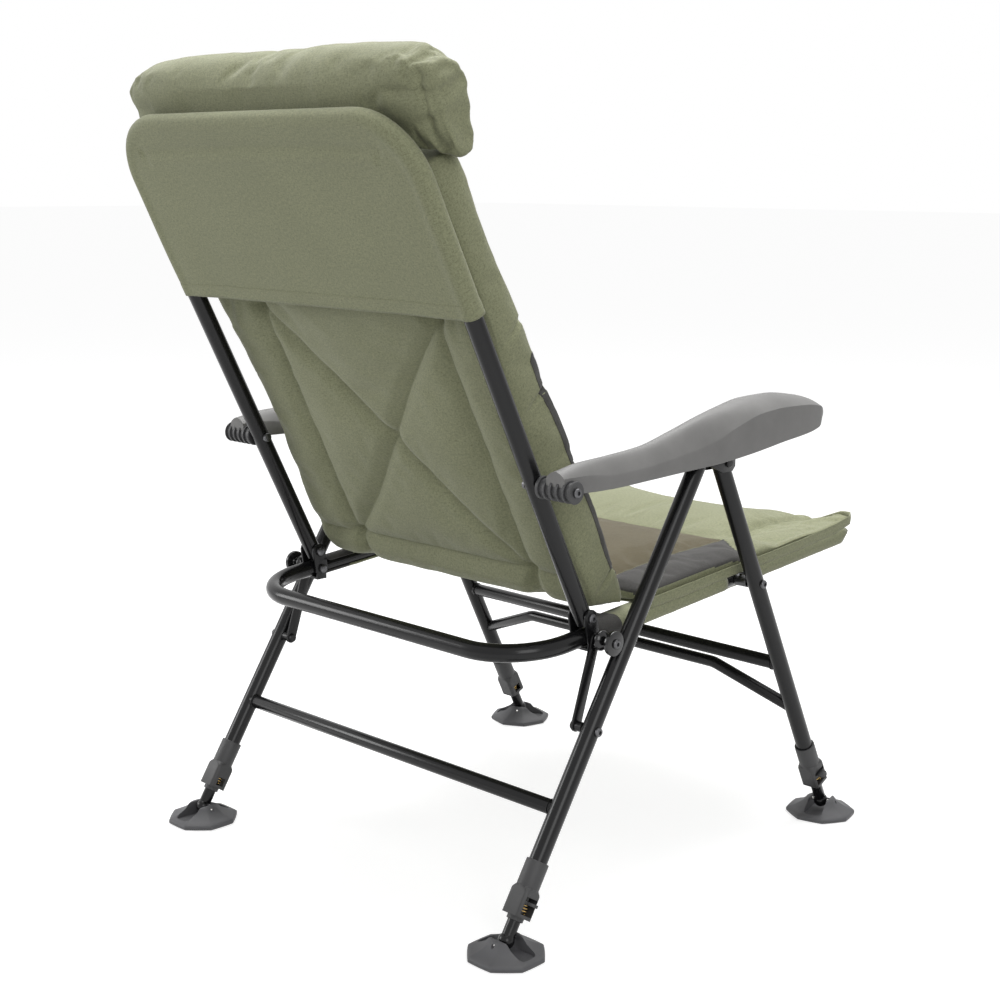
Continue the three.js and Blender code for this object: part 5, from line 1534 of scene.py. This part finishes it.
def hex_bolt(point, side, nut_end, head_start):
    """Button head outside, a domed nut inside and the plain shank between."""
    nut = [(0.0004, nut_end - 0.0046), (0.0036, nut_end - 0.0046), (0.0054, nut_end - 0.0038),
           (0.0058, nut_end - 0.001), (0.0058, nut_end), (0.003, nut_end)]
    return Solid().lathe(nut + button_head(head_start), at_x(point, 0), (side, 0, 0), count=30)


def bolted(solid, name, body, cad_node):
    solid.piece(name, body, "bolt_steel", black_steel(), cad_node)


def spool_profile(start):
    """The spool beside a bracket: a ball, a neck and a disc."""
    turns = [math.pi * (0.1 + 0.8 * i / 14) for i in range(15)]
    profile = [(0.0034, 0.0)] + [(0.0126 * math.sin(t), 0.0154 * i / 14) for i, t in enumerate(turns)]
    profile += [(0.0052, 0.0156), (0.005, 0.0165), (0.005, 0.0228), (0.0058, 0.0234), (0.0138, 0.0236),
                (0.0147, 0.0239), (0.015, 0.0247), (0.015, 0.0283), (0.0147, 0.029), (0.0138, 0.0294),
                (0.0034, 0.0294)]
    return [(radius, start + distance) for radius, distance in profile]


def box_outline(half, low_z, high_z):
    """A rectangle round the spool bolt's line, as (y, z)."""
    y = STOP_PIN.y
    return [(y - half, low_z), (y + half, low_z), (y + half, high_z), (y - half, high_z)]


def make_hinges():
    web_low, web_high = STOP_PIN.z - 0.0149, STOP_PIN.z - 0.0119
    for word, side in SIDES:
        solid = Solid()
        for start in (PLATE_INNER, PLATE_OUTER):
            solid.rings(plate_rings(stadium(STOP_PIN, HINGE, 0.0105), start, start + 0.003, 0.0007, side))
        ear = box_outline(0.008, web_low, STOP_PIN.z)
        for start in (PLATE_INNER, PLATE_OUTER):
            solid.rings(plate_rings(ear, start + 0.0001, start + 0.0029, 0.0004, side))
        web = box_outline(0.0078, web_low, web_high)
        solid.rings(plate_rings(web, PLATE_INNER + 0.0004, PLATE_OUTER + 0.0026, 0.0006, side))
        solid.piece("hinge_" + word, "seat", "plate_paint", plate_paint(), "hinge_bracket_" + word)
        nut_end = PLATE_INNER - 0.0003
        bolted(hex_bolt(HINGE, side, nut_end, PLATE_OUTER + 0.0033), "hinge_bolt_" + word, "seat",
               "back_pivot_bolt_" + word)
        bolted(hex_bolt(STOP_PIN, side, nut_end, 0.2986), "spool_bolt_" + word, "seat", "stop_bolt_" + word)
        bolt = hex_bolt(SEAT_PIN, side, 0.2387, PIN_HEAD)
        bolt.lathe([(0.004, PLATE_OUTER), (0.0074, PLATE_OUTER), (0.008, 0.2619), (0.008, 0.2781),
                    (0.0074, LEG_FACE), (0.004, LEG_FACE)], SEAT_PIN, (side, 0, 0), count=28)
        bolted(bolt, "leg_bolt_" + word, "seat", "front_pivot_bolt_" + word)
        spool = Solid().lathe(spool_profile(0.2689), STOP_PIN, (side, 0, 0), count=40)
        spool.piece("spool_" + word, "seat", "gloss_plastic", gloss_black(), "stop_spool_" + word)
        inner = LEG_X - TUBE_R + 0.0003
        pin = Solid().lathe([(0.0004, inner), (0.003, inner)] + button_head(PIN_HEAD), LINK_FOOT, (side, 0, 0),
                            count=30)
        bolted(pin, "link_pin_" + word, "rear_legs", "link_bolt_" + word)


# Armrests

ARM_FORWARD = 189.0
ARM_TALL, ARM_HALF = 76.0, 31.0
# At each share of the length: top, crease and bottom as shares of the height, and half the width as a share
ARM_STATIONS = (
    (-0.02, 0.29, 0.2, 0.03, 0.42), (0.06, 0.37, 0.2, -0.06, 0.5), (0.15, 0.4, 0.14, -0.07, 0.52),
    (0.28, 0.46, 0.18, -0.04, 0.6), (0.4, 0.62, 0.28, 0.0, 0.72), (0.51, 0.79, 0.4, 0.03, 0.82),
    (0.6, 0.9, 0.6, 0.08, 0.92), (0.7, 0.99, 0.76, 0.15, 0.98), (0.8, 1.0, 0.8, 0.23, 1.0),
    (0.9, 0.93, 0.78, 0.29, 0.97), (0.97, 0.83, 0.72, 0.36, 0.86), (1.0, 0.7, 0.66, 0.5, 0.66))


def arm_value(column, place):
    """A smooth curve through one column of the station table."""
    places = [row[0] for row in ARM_STATIONS]
    values = [row[column] for row in ARM_STATIONS]
    k = 0
    while k < len(places) - 2 and place > places[k + 1]:
        k += 1
    h = places[k + 1] - places[k]
    t = min(1.0, max(0.0, (place - places[k]) / h))

    def slope(i):
        if i <= 0:
            return (values[1] - values[0]) / (places[1] - places[0])
        if i >= len(places) - 1:
            return (values[-1] - values[-2]) / (places[-1] - places[-2])
        a = (values[i] - values[i - 1]) / (places[i] - places[i - 1])
        b = (values[i + 1] - values[i]) / (places[i + 1] - places[i])
        return 0.0 if a * b <= 0 else 2 * a * b / (a + b)

    m0, m1 = slope(k) * h, slope(k + 1) * h
    return (values[k] * (2 * t ** 3 - 3 * t ** 2 + 1) + m0 * (t ** 3 - 2 * t ** 2 + t)
            + values[k + 1] * (3 * t ** 2 - 2 * t ** 3) + m1 * (t ** 3 - t ** 2))


def arm_rings(shrink, drop, first, last, rows=72, across=34):
    start = ARM_PIN.y / MM
    reach = (HINGE.y - SEAT_PIN.y) / MM + ARM_FORWARD
    base = ARM_PIN.z / MM
    rings = []
    for k in range(rows + 1):
        place = first + (last - first) * (0.5 - 0.5 * math.cos(math.pi * k / rows))
        y = start - reach * place
        top = base + ARM_TALL * arm_value(1, place) - shrink
        crease = base + ARM_TALL * arm_value(2, place) - shrink / 2
        bottom = base + ARM_TALL * arm_value(3, place) - drop
        half = ARM_HALF * arm_value(4, place) - shrink
        ring = [(-half + 0.8, y, bottom), (-half, y, bottom + 0.8)]
        for step in range(1, 7):
            t = step / 7
            ring.append((-half - 0.9 * math.sin(math.pi * t), y, bottom + 0.8 + (crease - bottom - 0.8) * t))
        for i in range(across + 1):
            t = math.pi * i / across
            c = math.cos(t)
            ring.append((-half * c, y, crease + (top - crease) * (1 - abs(c) ** 1.9)))
        for step in range(6, 0, -1):
            t = step / 7
            ring.append((half + 0.9 * math.sin(math.pi * t), y, bottom + 0.8 + (crease - bottom - 0.8) * t))
        ring += [(half, y, bottom + 0.8), (half - 0.8, y, bottom)]
        rings.append(ring)
    return rings


def barrel_profile():
    """The ribbed barrel beside the back's tube."""
    start = PLATE_OUTER
    pitch = (0.052 - 0.0032) / 5
    profile = [(0.0036, start), (0.0122, start), (0.0132, start + 0.001), (0.0132, start + 0.0032)]
    for i in range(5):
        groove = start + 0.0032 + pitch * i + 0.0012
        profile += [(0.0132, groove), (0.0128, groove + 0.0004), (0.0108, groove + 0.0006),
                    (0.0108, groove + pitch - 0.003), (0.0128, groove + pitch - 0.0028),
                    (0.0132, groove + pitch - 0.0024)]
    return profile + [(0.0132, start + 0.051), (0.0122, start + 0.052), (0.0036, start + 0.052)]


def make_armrests():
    for word, side in SIDES:
        shell, hollow = (
            skinned([[(p[0] + side * LEG_HALF, p[1], p[2]) for p in ring] for ring in rings])
            for rings in (arm_rings(0.0, 0.0, -0.02, 1.0), arm_rings(3.0, 6.0, 0.06, 0.97)))
        made = carved("arm_" + word, shell, [hollow])
        shell_faces = len(made.polygons)
        barrel = Solid().lathe(barrel_profile(), ARM_PIN, (side, 0, 0), count=36)
        join_meshes(made, barrel.mesh("arm_barrel"))
        piece = placed("arm_" + word, made, "arm_" + word, "arm_plastic", [arm_plastic(), moulded_black()],
                       ["armrest_" + word], 24)
        for polygon in piece.data.polygons[shell_faces:]:
            polygon.material_index = 1
        bolted(hex_bolt(ARM_PIN, side, 0.2387, PLATE_OUTER + 0.0523), "arm_bolt_" + word, "back",
               "arm_rear_bolt_" + word)


def make_arm_brackets():
    half = 0.0138
    low_z, top_z = FRONT_TOP.z - 0.011, FRONT_TOP.z + 0.035
    ahead, behind = FRONT_TOP.y - 0.014, REAR_TOP.y + 0.014
    outline = [(ahead + 0.0055, low_z), (FRONT_TOP.y + 0.011, low_z), (behind, FRONT_TOP.z + 0.0055),
               (behind, top_z), (ahead, top_z), (ahead, low_z + 0.0055)]
    web = [(ahead + 0.0002, top_z - 0.0001), (behind - 0.0002, top_z - 0.0001),
           (behind - 0.0002, top_z + 0.0023), (ahead + 0.0002, top_z + 0.0023)]
    a, b = LEG_X - half, LEG_X + half
    rivet = [(0.0004, a - 0.0034), (0.0045, a - 0.0034), (0.0056, a - 0.0026), (0.0056, a + 0.0003),
             (0.003, a + 0.0003), (0.003, b - 0.0003), (0.0056, b - 0.0003), (0.0056, b + 0.0022),
             (0.0044, b + 0.0032), (0.0004, b + 0.0034)]
    for word, side in SIDES:
        solid = Solid()
        for inner in (a, PIN_HEAD):
            solid.rings(plate_rings(outline, inner, inner + 0.0025, 0.0005, side))
        solid.rings(plate_rings(web, a + 0.0004, b - 0.0004, 0.0005, side))
        for point in (FRONT_TOP, REAR_TOP):
            solid.lathe(rivet, at_x(point, 0), (side, 0, 0), count=28)
        solid.piece("bracket_" + word, "arm_" + word, "plate_paint", plate_paint(), "arm_bracket_" + word)


# Leg ends and feet

LEGS = tuple((end, word, side) for end in ENDS for word, side in SIDES)
NODE_BODY = {name: body for body, names in frame["record"]["behaviour"]["bodies"].items() for name in names}
# The collar's bore, and the notch that its latch slides in, above the collar's lower end
BORE, TUBE_BORE = 0.0081, 0.0113
NOTCH_LOW, NOTCH_HIGH = 0.009, 0.0295
LATCH_LIFT = 0.0122
COLLAR_LIP = ((BORE, 0.0055), (BORE, 0), (0.0092, 0), (0.0099, 0.0006), (0.01, 0.0015), (0.01, 0.0055))
COLLAR_NECK = ((BORE, 0.0385), (0.01315, 0.0385), (0.01345, 0.0396), (0.0136, 0.0402), (0.0136, 0.0695),
               (0.0134, 0.0705), (0.0131, 0.071), (TUBE_BORE, 0.071), (TUBE_BORE, 0.0402), (BORE, 0.0402))


def leg_frame(end, side):
    """Middle of the ball, the leg's own up, and across with the latch outward."""
    ball = FRONT_BALL if end == "front" else REAR_BALL
    up = FRONT_UP if end == "front" else REAR_UP
    out = Vector((side, 0, 0))
    return at_x(ball, side * LEG_X), up, out, up.cross(out).normalized()


def block_ring(centre, out, across, half, chamfer, cap=1.0, count=96):
    """A square with cut corners that is no wider than the radius of its cap."""
    ring = []
    for i in range(count):
        a = 2 * math.pi * (i + 0.5) / count
        c, s = math.cos(a), math.sin(a)
        r = min(half / max(abs(c), abs(s)), (2 * half - chamfer) / (abs(c) + abs(s)), cap)
        ring.append(centre + (out * c + across * s) * r)
    return ring


def box_tool(origin, up, out, across, corners, levels):
    """A straight-sided cutter over a rectangle of two corners, between two levels."""
    (u0, v0), (u1, v1) = corners
    loop = ((u0, v0), (u1, v0), (u1, v1), (u0, v1))
    return Solid().rings([[origin + up * d + out * u + across * v for u, v in loop] for d in levels])


def make_collars():
    half, chamfer = 0.0135, 0.003
    for end, word, side in LEGS:
        ball, up, out, across = leg_frame(end, side)
        show = SHOW[end] * MM
        tag = end + "_" + word
        rings = [block_ring(ball + up * (show + d), out, across, half, chamfer) for d in (0.005, 0.032)]
        for step in range(1, 5):
            level = show + 0.032 + 0.002 * step
            rings.append(block_ring(ball + up * level, out, across, half, chamfer, 0.0191 - 0.00145 * step))
        tools = [box_tool(ball, up, out, across, ((-0.0105, -0.0103), (0.03, 0.0103)),
                          (show + NOTCH_LOW, show + NOTCH_HIGH)),
                 box_tool(ball, up, out, across, ((-0.03, -0.006), (0.0, 0.006)), (show + NOTCH_LOW, show + 0.02)),
                 Solid().lathe([(BORE, show - 0.01), (BORE, show + 0.06)], ball, up, count=36)]
        made = carved("collar_" + tag + "_moulding", Solid().rings(rings), tools, 0.0004)
        rest = Solid()
        for profile, count in ((COLLAR_LIP, 36), (COLLAR_NECK, 40)):
            at_leg = [(radius, show + distance) for radius, distance in profile]
            rest.rings(turned_rings(at_leg, ball, up, count), closed=True)
        join_meshes(made, rest.mesh("collar_rest"))
        placed("collar_" + tag + "_moulding", made, NODE_BODY["collar_" + tag], "black_plastic", [moulded_black()],
               ["collar_" + tag], 30)


def make_feet():
    radius, top = 0.0078, 0.2393
    turns = [math.radians(8 + 119.3 * i / 18) for i in range(19)]
    for end, word, side in LEGS:
        ball, up = leg_frame(end, side)[:2]
        tag = end + "_" + word
        shaft_node, pin_node = "inner_leg_" + tag, "foot_pin_" + tag
        ball_radius = high(shaft_node).x - ball.x
        profile = [(0.0003, -ball_radius)] + [(ball_radius * math.sin(t), -ball_radius * math.cos(t)) for t in turns]
        shaft = Solid().lathe(profile + [(radius, 0.0064), (radius, top), (0.0003, top)], ball, up)
        painted(shaft, "shaft_tube_" + tag, NODE_BODY[shaft_node], shaft_node)
        run = heading("foot_" + tag + "_tilt")
        pin = Solid().lathe([(0.0003, -0.0201), (0.0014, -0.0201), (0.002, -0.0195), (0.002, 0.0195),
                             (0.0014, 0.0201), (0.0003, 0.0201)], ball, run, count=20)
        pin.piece("pin_" + tag, NODE_BODY[pin_node], "bright_steel", bright_pin(), pin_node)
        make_pad(tag, ball, run)


PAD_PROFILE = ((0.93, 0), (0.975, 0.012), (1, 0.06), (1, 0.2), (0.985, 0.25), (0.95, 0.3), (0.85, 0.365),
               (0.74, 0.45), (0.63, 0.575), (0.52, 0.72), (0.45, 0.86), (0.41, 0.95), (0.36, 1))
PAD_RADIUS, PAD_HEIGHT = 0.047, 0.023
SLOT_HALF, SLOT_LONG, SLOT_FLOOR, SLOT_CORNER = 0.0128, 0.037, 0.006, 0.007


def make_pad(tag, ball, run):
    """An eight-sided dome with an open slot across it, bored for the pin."""
    cross = Vector((0, 0, 1)).cross(run)
    ground = Vector((ball.x, ball.y, 0))
    rings = []
    count = 96
    for width, height in PAD_PROFILE:
        flat = 0.8 * max(0.0, min(1.0, (width - 0.42) / 0.12))
        ring = []
        for i in range(count):
            a = 2 * math.pi * i / count
            facet = math.cos(math.pi / 8) / math.cos((a + math.pi / 8) % (math.pi / 4) - math.pi / 8)
            radius = PAD_RADIUS * width * (1 - (1 - facet) * flat)
            ring.append(ground + (run * math.cos(a) + cross * math.sin(a)) * radius
                        + Vector((0, 0, PAD_HEIGHT * height)))
        rings.append(ring)
    corners = []
    for k, (sign_u, sign_v) in enumerate(((1, 1), (-1, 1), (-1, -1), (1, -1))):
        for i in range(7):
            a = math.pi / 2 * (k + i / 6)
            corners.append((sign_u * (SLOT_HALF - SLOT_CORNER) + SLOT_CORNER * math.cos(a),
                            sign_v * (SLOT_LONG - SLOT_CORNER) + SLOT_CORNER * math.sin(a)))
    slot = Solid().rings([[ground + run * u + cross * v + Vector((0, 0, z)) for u, v in corners]
                          for z in (SLOT_FLOOR, 0.05)])
    bore = Solid().lathe([(0.0024, -0.06), (0.0024, 0.06)], ball, run, count=20)
    made = carved("pad_" + tag, Solid().rings(rings), [slot, bore], 0.0005, 50)
    pad_node = "foot_pad_" + tag
    placed("pad_" + tag, made, NODE_BODY[pad_node], "black_plastic", [pad_plastic()], [pad_node], 26)


def make_latches():
    lever_outline = [(-0.0102, -0.01), (0.0135, -0.01), (0.0138, -0.006)]
    lever_outline += [(0.017 + 0.006 * math.sin(math.pi * i / 12), -0.006 * math.cos(math.pi * i / 12))
                      for i in range(13)]
    lever_outline += [(0.0138, 0.006), (0.0135, 0.01), (-0.0102, 0.01)]
    coil_radius, free, turns, steps = 0.0091, 0.010, 3, 36
    for end, word, side in LEGS:
        ball, up, out, across = leg_frame(end, side)
        show = SHOW[end] * MM
        tag = end + "_" + word
        level = show + NOTCH_LOW + LATCH_LIFT
        plate = Solid().rings([[ball + up * (level + d) + out * u + across * v for u, v in lever_outline]
                               for d in (0.0, 0.0036)])
        hole = Solid().lathe([(0.0084, level - 0.01), (0.0084, level + 0.02)], ball, up, count=36)
        placed("lever_" + tag, carved("lever_" + tag, plate, [hole], 0.0004), NODE_BODY["latch_" + tag],
               "black_plastic", [moulded_black()], ["latch_" + tag], 35)
        start = show + NOTCH_LOW + 0.0011
        points = []
        for i in range(turns * steps + 1):
            a = 2 * math.pi * i / steps
            points.append(ball + up * (start + free * i / (turns * steps)) + out * coil_radius * math.cos(a)
                          + across * coil_radius * math.sin(a))
        coil = Solid().rings(sweep_rings(points, 0.0008, 12))
        spring_node = "latch_spring_" + tag
        coil.piece("coil_" + tag, NODE_BODY[spring_node], "brass", brass_wire(), spring_node)


# Stage

def area_light(name, position, aim, size, watts):
    lamp = bpy.data.lights.new(name, "AREA")
    lamp.shape = "RECTANGLE"
    lamp.size, lamp.size_y = size
    lamp.energy = watts
    holder = shown(name, lamp)
    holder.location = position
    holder.rotation_euler = (Vector(aim) - Vector(position)).to_track_quat("-Z", "Y").to_euler()


def white_rays(tree, path):
    """One for the rays that see the white background, which are the camera's, glossy and clear ones."""
    sharp = maths(tree, "MAXIMUM", path.outputs["Is Glossy Ray"], path.outputs["Is Transmission Ray"])
    return maths(tree, "MAXIMUM", path.outputs["Is Camera Ray"], sharp)


def make_stage():
    look = bpy.context.scene.armchair_stage
    toward = Vector((0.6884, -0.7003, -0.1889)).normalized()
    roll = math.radians(0.36)
    level = Vector((-0.7131, -0.7010, 0.0)).normalized()
    raised = level.cross(toward)
    right = level * math.cos(roll) + raised * math.sin(roll)
    up = raised * math.cos(roll) - level * math.sin(roll)
    place = Vector((-1.5232, HINGE.y + 1.4351, 0.8658))
    lens = bpy.data.cameras.new("Camera")
    lens.lens = look.lens
    lens.sensor_width = 36.0
    camera = shown("Camera", lens)
    camera.matrix_world = Matrix([(right[i], up[i], -toward[i], place[i]) for i in range(3)] + [(0, 0, 0, 1)])
    bpy.context.scene.camera = camera
    bpy.context.scene.view_settings.view_transform = "Standard"

    ground, tree = new_finish("Ground")
    if tree:
        path = node(tree, "ShaderNodeLightPath")
        dressed(ground, scaled(look.ground, 1.0), 0.95, Specular_IOR_Level=0.0, Emission_Color=(1, 1, 1, 1))
        feed(tree, tree.nodes["Principled BSDF"].inputs["Emission Strength"],
             maths(tree, "MULTIPLY", white_rays(tree, path), look.lift))
    reach, below = 40.0, -0.0005
    mesh = new_mesh("floor", [(x, y, below) for x, y in ((-reach, -reach), (reach, -reach), (reach, reach),
                                                         (-reach, reach))], [(0, 1, 2, 3)])
    mesh.materials.append(ground)
    shown("floor", mesh)

    world = bpy.data.worlds.new("Studio")
    world.use_nodes = True
    bpy.context.scene.world = world
    tree = world.node_tree
    sky = tree.nodes["Background"].inputs
    feed(tree, sky["Strength"], maths(tree, "MAXIMUM", white_rays(tree, node(tree, "ShaderNodeLightPath")),
                                      look.ambient))
    sky["Color"].default_value = (1, 1, 1, 1)
    area_light("Overhead", (0.3, -0.6, 3.2), (0, 0, 0.4), (2.2, 2.2), look.overhead)
    area_light("Side", (-2.6, 1.6, 1.7), (0, 0, 0.5), (1.4, 1.8), 26)
    area_light("Raking", (2.5, 1.9, 1.3), (0, 0.2, 0.6), (1.0, 1.2), 28)


# Operators, panel and entry point

class BuildStep:
    bl_options = {"REGISTER", "UNDO"}


class ARMCHAIR_OT_seat_tube(BuildStep, bpy.types.Operator):
    """Bend the seat tube and plug its ends"""
    bl_idname = "armchair.seat_tube"
    bl_label = "Seat tube"

    def execute(self, context):
        make_seat_tube()
        return {"FINISHED"}


class ARMCHAIR_OT_back_tube(BuildStep, bpy.types.Operator):
    """Bend the tube of the back"""
    bl_idname = "armchair.back_tube"
    bl_label = "Back tube"

    def execute(self, context):
        make_back_tube()
        return {"FINISHED"}


class ARMCHAIR_OT_front_legs(BuildStep, bpy.types.Operator):
    """Build the front legs with their two cross tubes"""
    bl_idname = "armchair.front_legs"
    bl_label = "Front legs"

    def execute(self, context):
        make_front_legs()
        return {"FINISHED"}


class ARMCHAIR_OT_rear_legs(BuildStep, bpy.types.Operator):
    """Build the rear legs with their cross tube"""
    bl_idname = "armchair.rear_legs"
    bl_label = "Rear legs"

    def execute(self, context):
        make_rear_legs()
        return {"FINISHED"}


class ARMCHAIR_OT_hinges(BuildStep, bpy.types.Operator):
    """Build the hinge brackets, bolts and spools"""
    bl_idname = "armchair.hinges"
    bl_label = "Hinges"

    def execute(self, context):
        make_hinges()
        return {"FINISHED"}


class ARMCHAIR_OT_link_bars(BuildStep, bpy.types.Operator):
    """Build the link bars"""
    bl_idname = "armchair.link_bars"
    bl_label = "Link bars"

    def execute(self, context):
        make_link_bars()
        return {"FINISHED"}


class ARMCHAIR_OT_armrests(BuildStep, bpy.types.Operator):
    """Mould the armrests with their ribbed barrels"""
    bl_idname = "armchair.armrests"
    bl_label = "Armrests"

    def execute(self, context):
        make_armrests()
        return {"FINISHED"}


class ARMCHAIR_OT_arm_brackets(BuildStep, bpy.types.Operator):
    """Fold the brackets inside the armrests"""
    bl_idname = "armchair.arm_brackets"
    bl_label = "Arm brackets"

    def execute(self, context):
        make_arm_brackets()
        return {"FINISHED"}


class ARMCHAIR_OT_collars(BuildStep, bpy.types.Operator):
    """Mould the collars at the leg ends"""
    bl_idname = "armchair.collars"
    bl_label = "Leg collars"

    def execute(self, context):
        make_collars()
        return {"FINISHED"}


class ARMCHAIR_OT_latches(BuildStep, bpy.types.Operator):
    """Build the latches and their springs"""
    bl_idname = "armchair.latches"
    bl_label = "Latches"

    def execute(self, context):
        make_latches()
        return {"FINISHED"}


class ARMCHAIR_OT_feet(BuildStep, bpy.types.Operator):
    """Build the sliding shafts, pins and foot pads"""
    bl_idname = "armchair.feet"
    bl_label = "Feet"

    def execute(self, context):
        make_feet()
        return {"FINISHED"}


class ARMCHAIR_OT_sling(BuildStep, bpy.types.Operator):
    """Stretch the sling between the seat tubes"""
    bl_idname = "armchair.sling"
    bl_label = "Seat sling"

    def execute(self, context):
        make_sling()
        return {"FINISHED"}


class ARMCHAIR_OT_seat_cushion(BuildStep, bpy.types.Operator):
    """Sew and fill the seat cushion"""
    bl_idname = "armchair.seat_cushion"
    bl_label = "Seat cushion"

    def execute(self, context):
        make_seat_cushion()
        return {"FINISHED"}


class ARMCHAIR_OT_back_sleeve(BuildStep, bpy.types.Operator):
    """Pull the sleeve over the back tube"""
    bl_idname = "armchair.back_sleeve"
    bl_label = "Back sleeve"

    def execute(self, context):
        make_back_sleeve()
        return {"FINISHED"}


class ARMCHAIR_OT_back_cushion(BuildStep, bpy.types.Operator):
    """Sew and fill the back cushion"""
    bl_idname = "armchair.back_cushion"
    bl_label = "Back cushion"

    def execute(self, context):
        make_back_cushion()
        return {"FINISHED"}


class ARMCHAIR_OT_head_pillow(BuildStep, bpy.types.Operator):
    """Sew and fill the head pillow"""
    bl_idname = "armchair.head_pillow"
    bl_label = "Head pillow"

    def execute(self, context):
        make_head_pillow()
        return {"FINISHED"}


class ARMCHAIR_OT_stage(BuildStep, bpy.types.Operator):
    """Set up the floor, the lights and the camera"""
    bl_idname = "armchair.stage"
    bl_label = "Stage"

    def execute(self, context):
        make_stage()
        return {"FINISHED"}


STEPS = (
    ARMCHAIR_OT_seat_tube, ARMCHAIR_OT_back_tube, ARMCHAIR_OT_front_legs, ARMCHAIR_OT_rear_legs, ARMCHAIR_OT_hinges,
    ARMCHAIR_OT_link_bars, ARMCHAIR_OT_armrests, ARMCHAIR_OT_arm_brackets, ARMCHAIR_OT_collars, ARMCHAIR_OT_latches,
    ARMCHAIR_OT_feet, ARMCHAIR_OT_sling, ARMCHAIR_OT_seat_cushion, ARMCHAIR_OT_back_sleeve,
    ARMCHAIR_OT_back_cushion, ARMCHAIR_OT_head_pillow, ARMCHAIR_OT_stage,
)


class ARMCHAIR_PT_panel(bpy.types.Panel):
    """Sizes, colours and build steps of the armchair"""
    bl_label = "Folding Padded Armchair"
    bl_idname = "ARMCHAIR_PT_panel"
    bl_space_type = "VIEW_3D"
    bl_region_type = "UI"
    bl_category = "Armchair"

    def draw(self, context):
        layout = self.layout
        for settings in (context.scene.armchair_frame, context.scene.armchair_padding, context.scene.armchair_stage):
            box = layout.box()
            for name in settings.__annotations__:
                box.prop(settings, name)
        for step in STEPS:
            layout.operator(step.bl_idname)


GROUPS = (("armchair_padding", ArmchairPadding), ("armchair_frame", ArmchairFrame), ("armchair_stage", ArmchairStage))


def register():
    for name, group in GROUPS:
        bpy.utils.register_class(group)
        setattr(bpy.types.Scene, name, bpy.props.PointerProperty(type=group))
    for step in STEPS:
        bpy.utils.register_class(step)
    bpy.utils.register_class(ARMCHAIR_PT_panel)


def unregister():
    bpy.utils.unregister_class(ARMCHAIR_PT_panel)
    for step in reversed(STEPS):
        bpy.utils.unregister_class(step)
    for name, group in reversed(GROUPS):
        delattr(bpy.types.Scene, name)
        bpy.utils.unregister_class(group)


def main():
    register()
    for step in STEPS:
        getattr(bpy.ops.armchair, step.bl_idname.split(".")[1])()


if __name__ == "__main__":
    main()
